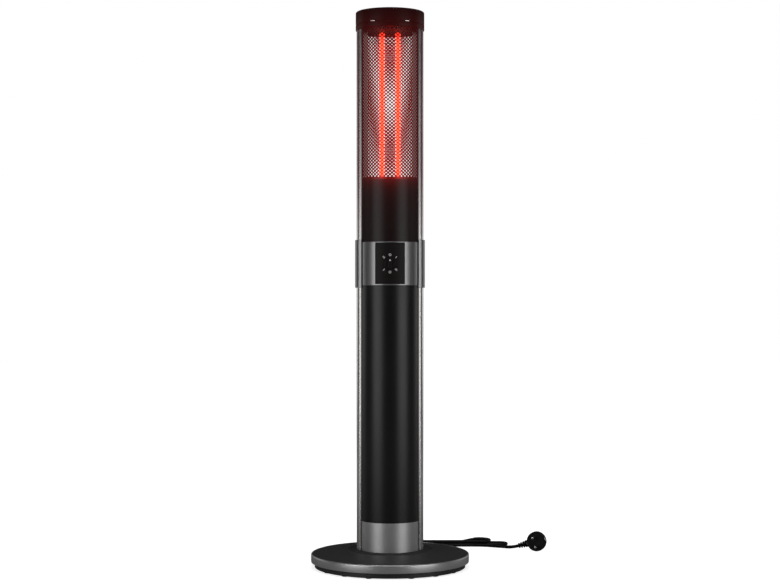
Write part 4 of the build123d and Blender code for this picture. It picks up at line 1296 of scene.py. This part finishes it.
# The cord's route in metres, from the gland to the plug's relief: low loops
# behind the base, which follow the photograph where it shows them.
LIE, OVER = 0.0033, 0.01025  # heights on the floor and over another row
CORD_ROUTE = [
    (0.0, 0.1851, 0.0188), (0.0, 0.203, 0.0188), (0.005, 0.222, 0.0156), (0.017, 0.238, 0.0126),
    (0.038, 0.2465, 0.011), (0.058, 0.24878, OVER), (0.176, 0.24878, OVER), (0.194, 0.24878, OVER),
    (0.205, 0.2595, OVER), (0.205, 0.278, OVER), (0.192, 0.2883, OVER), (0.176, 0.2883, OVER),
    (0.15, 0.291, LIE), (0.132, 0.2925, LIE), (0.104, 0.2915, LIE), (0.076, 0.2882, LIE),
    (0.056, 0.28695, LIE), (0.02, 0.28695, LIE), (-0.012, 0.28695, OVER), (-0.0288, 0.28695, OVER),
    (-0.0432, 0.28695, OVER), (-0.05335, 0.2768, OVER), (-0.05335, 0.2624, OVER), (-0.0432, 0.25225, OVER),
    (-0.0288, 0.25225, OVER), (-0.005, 0.25225, OVER), (0.035, 0.25225, LIE), (0.2202, 0.25225, LIE),
    (0.23175, 0.25225, LIE), (0.2399, 0.2604, LIE), (0.2399, 0.2719, LIE), (0.23175, 0.28, LIE),
    (0.2202, 0.28, LIE), (-0.0288, 0.28, LIE), (-0.0432, 0.28, LIE), (-0.05335, 0.2698, LIE),
    (-0.05335, 0.2555, LIE), (-0.0432, 0.2453, LIE), (-0.0288, 0.2453, LIE), (0.153, 0.2453, LIE),
    (0.19, 0.2453, LIE), (0.224, 0.2295, LIE), (0.24835, 0.21445, 0.0035), (0.2616, 0.20963, 0.00781),
]


class MakeCord(bpy.types.Operator):
    """Makes the cord, its two strain reliefs and the plug"""

    bl_idname = "heater.make_cord"
    bl_label = "Cord and plug"

    def execute(self, context):
        sizes = context.scene.heater_sizes
        low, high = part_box("cord_gland")
        place = placed((0, 0, (low.z + high.z) / 2), -pi / 2, "X")
        gland = ribbed_sleeve(
            "cord_gland_relief", place, start=low.y, length=high.y - low.y, root=0.0054, tip=0.0042, ribs=9,
            rib_width=0.0012,
        )
        dress(gland, "rubber", replaces=["cord_gland"])

        own = plug_place()
        along = own @ placed((0, 0, -PLUG_LEAD), pi / 2, "Y")
        relief = ribbed_sleeve(
            "plug_relief_ribs", along, start=0.0242, length=0.0168, root=0.0071, tip=0.0049, ribs=4,
            rib_width=0.0019,
        )
        dress(relief, "rubber", replaces=["plug_relief"])

        wide = PLUG_RADIUS
        body = soften([
            (0, -0.0006, 0), (0.0165, -0.0006, 0.0002), (0.0172, 0, 0.0002), (wide, 0, 0.0008),
            (wide, -0.009, 0.0008), (0.0189, -0.0094, 0.0003), (0.0155, -0.023, 0.003), (0, -0.023, 0),
        ], 4)
        neck = soften([
            (0, 0.002, 0), (0.0078, 0.002, 0), (0.0075, 0.017, 0.002), (0.0066, 0.0235, 0.0008),
            (0.0062, 0.025, 0.0006), (0, 0.025, 0),
        ], 4)
        bm = gathered([turned("plug", body, 72, place=own), turned("neck", neck, 48, place=along)])
        plug = new_piece("mains_plug", kept("plug", bm, 35))
        dress(plug, "rubber", replaces=["plug_body"])

        pin = soften([
            (0, -0.004, 0), (0.0022, -0.004, 0), (0.0022, 0.0005, 0), (0.0024, 0.0006, 0),
            (0.0024, 0.019, 0.0012), (0, 0.019, 0),
        ], 5)
        pins = new_piece("round_pins", turned("pin", pin, 32))
        put_in_row(pins, "nickel", 2, (0.0, -PIN_PITCH / 2, 0.0), (0.0, PIN_PITCH, 0.0))
        pins.data.transform(own)
        pins.data.shade_smooth()
        dress(pins, "nickel", replaces=["plug_pins"])

        clip = [(wide - 0.001, -0.003), (wide, -0.003), (wide, 0.003), (wide - 0.001, 0.003)]
        sides = [prism("clip", [(hand * x, y) for x, y in clip], -0.007, 0.0, own) for hand in (1, -1)]
        clips = new_piece("earth_clips", closed("clips", gathered(sides)))
        ease(clips, 0.0003)
        dress(clips, "nickel", replaces=["plug_earth_clips"])

        curve = bpy.data.curves.new("power_cord", "CURVE")
        curve.dimensions = "3D"
        curve.bevel_depth = sizes.cord_width / 2
        curve.bevel_resolution = 5
        curve.resolution_u = 12
        curve.use_fill_caps = True
        line = curve.splines.new("NURBS")
        line.points.add(len(CORD_ROUTE) - 1)
        for point, spot in zip(line.points, CORD_ROUTE):
            point.co = (*spot, 1.0)
        line.order_u = 3
        line.use_endpoint_u = True
        cord = new_piece("power_cord", curve)
        dress(cord, "cord_rubber", replaces=["cord_lead", "cord_hank", "cord_tail"])
        return {"FINISHED"}


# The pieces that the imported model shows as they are, by their finish.
INNER_PIECES = {
    "black_plastic": ["base_tray", "tip_switch_body", "collar_core", "rotary_switch", "thermal_cutout"],
    "red_plastic": ["tip_switch_plunger"],
    "ivory_plastic": ["terminal_block"],
    "cord_rubber": ["wiring_harness"],
    "cast_iron": ["base_weight"],
    "white_ceramic": ["lamp_ends"],
    "steel": [
        "tray_screws", "column_bolts", "post_screws", "tip_switch_spring", "switch_shaft", "switch_nut",
        "cap_screws",
    ],
    "zinc_steel": ["column_foot", "bulkhead_lower", "bulkhead_middle", "bulkhead_upper", "cap_frame"],
    "baked_steel": ["lamp_plate_lower", "lamp_plate_upper"],
    "aluminium": ["post_joiner_left", "post_joiner_right"],
}


class FinishInside(bpy.types.Operator):
    """Gives the pieces inside the heater their finishes"""

    bl_idname = "heater.finish_inside"
    bl_label = "Inner pieces"

    def execute(self, context):
        for finish, nodes in INNER_PIECES.items():
            for node in nodes:
                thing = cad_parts[node]
                if not thing.material_slots:
                    thing.data.materials.append(finish_for(finish))
                for slot in thing.material_slots:
                    slot.material = finish_for(finish)
        return {"FINISHED"}


# ---- the stage ----
def studio_floor():
    """Nearly white to the camera, and throwing back less light near the heater."""
    finish = Finish("studio floor")
    far = finish.vector_math("LENGTH", finish.where(), output="Value")
    seen = finish.ray("Camera")
    edge = far.fade(0.17, 0.3)
    light = (seen + far.fade(0.6, 0.8)).clamped()
    colour = finish.blend(light, (0.25, 0.25, 0.25, 1.0), (0.8, 0.8, 0.8, 1.0))
    plain = finish.node("ShaderNodeBsdfDiffuse", {}, {"Color": colour})
    inputs = {"Color": WHITE, "Strength": seen * (0.78 + edge * 0.22)}
    white = finish.node("ShaderNodeEmission", {}, inputs)
    return finish.close(finish.node("ShaderNodeAddShader", {}, {0: plain, 1: white}))


def studio_sky(world):
    """White seen straight or through the quartz, else dark but for a patch in reflections."""
    sky = Tree(world.node_tree)
    sky.graph.nodes.clear()
    where = sky.where("Generated")
    aside, above = abs(where.part("Y") - 0.42), abs(where.part("Z"))
    patch = aside.fade(0.2, -0.2) * above.fade(0.25, -0.25) * 1.8
    level = 0.02 + sky.ray("Glossy") * patch
    direct = (sky.ray("Camera") + sky.ray("Transmission")).clamped()
    inputs = {"Color": WHITE, "Strength": direct + (1.0 - direct) * level}
    sky.end("ShaderNodeOutputWorld", "Surface", sky.node("ShaderNodeBackground", {}, inputs))


class MakeStage(bpy.types.Operator):
    """Makes the floor, the lights and the camera"""

    bl_idname = "heater.make_stage"
    bl_label = "Stage"

    def execute(self, context):
        bm = bmesh.new()
        bmesh.ops.create_grid(bm, x_segments=1, y_segments=1, size=9.0)
        floor = new_piece("floor", kept("floor", bm))
        floor.data.materials.append(studio_floor())

        world = bpy.data.worlds.new("studio")
        context.scene.world = world
        world.use_nodes = True
        studio_sky(world)

        for name, (spot, aim, wide, tall, power) in SOFTBOXES.items():
            lamp = bpy.data.lights.new(name, "AREA")
            lamp.shape = "RECTANGLE"
            lamp.size, lamp.size_y = wide, tall
            lamp.energy = power
            thing = new_piece(name, lamp)
            thing.location = spot
            towards = Vector((0, 0, aim)) - Vector(spot)
            thing.rotation_euler = towards.to_track_quat("-Z", "Y").to_euler()

        camera = bpy.data.cameras.new("camera")
        camera.lens = LENS
        camera.sensor_width = 36.0
        thing = new_piece("camera", camera)
        thing.location = (0.0, -CAMERA_AWAY, CAMERA_HEIGHT)
        thing.rotation_euler = (radians(90), 0.0, 0.0)
        context.scene.camera = thing
        context.scene.view_settings.view_transform = "Standard"
        return {"FINISHED"}


# ---- the add-on ----
class HeaterPanel(bpy.types.Panel):
    """Lists the heater's pieces, sizes and colours"""

    bl_idname = "VIEW3D_PT_heater"
    bl_label = "Patio heater"
    bl_space_type = "VIEW_3D"
    bl_region_type = "UI"
    bl_category = "Heater"

    def draw(self, context):
        for maker in OPERATORS:
            self.layout.operator(maker.bl_idname)
        for group in (context.scene.heater_sizes, context.scene.heater_colours):
            for name in group.__annotations__:
                self.layout.prop(group, name)


OPERATORS = (
    MakeStage, MakeCord, MakeBase, MakeCovers, MakePosts, MakeCollar, MakeControl, MakeGuards, MakeLamps,
    MakeCap, FinishInside,
)
CLASSES = (HeaterSizes, HeaterColours, *OPERATORS, HeaterPanel)


def register():
    """Registers the classes and puts the sizes and colours on the scene."""
    for kind in CLASSES:
        bpy.utils.register_class(kind)
    bpy.types.Scene.heater_sizes = PointerProperty(type=HeaterSizes)
    bpy.types.Scene.heater_colours = PointerProperty(type=HeaterColours)


def unregister():
    """Takes the classes away again."""
    del bpy.types.Scene.heater_colours
    del bpy.types.Scene.heater_sizes
    for kind in reversed(CLASSES):
        bpy.utils.unregister_class(kind)


def main():
    """Builds the whole heater."""
    register()
    bpy.ops.heater.make_stage()
    bpy.ops.heater.make_cord()
    bpy.ops.heater.make_base()
    bpy.ops.heater.make_covers()
    bpy.ops.heater.make_posts()
    bpy.ops.heater.make_collar()
    bpy.ops.heater.make_control()
    bpy.ops.heater.make_guards()
    bpy.ops.heater.make_lamps()
    bpy.ops.heater.make_cap()
    bpy.ops.heater.finish_inside()


if __name__ == "__main__":
    main()
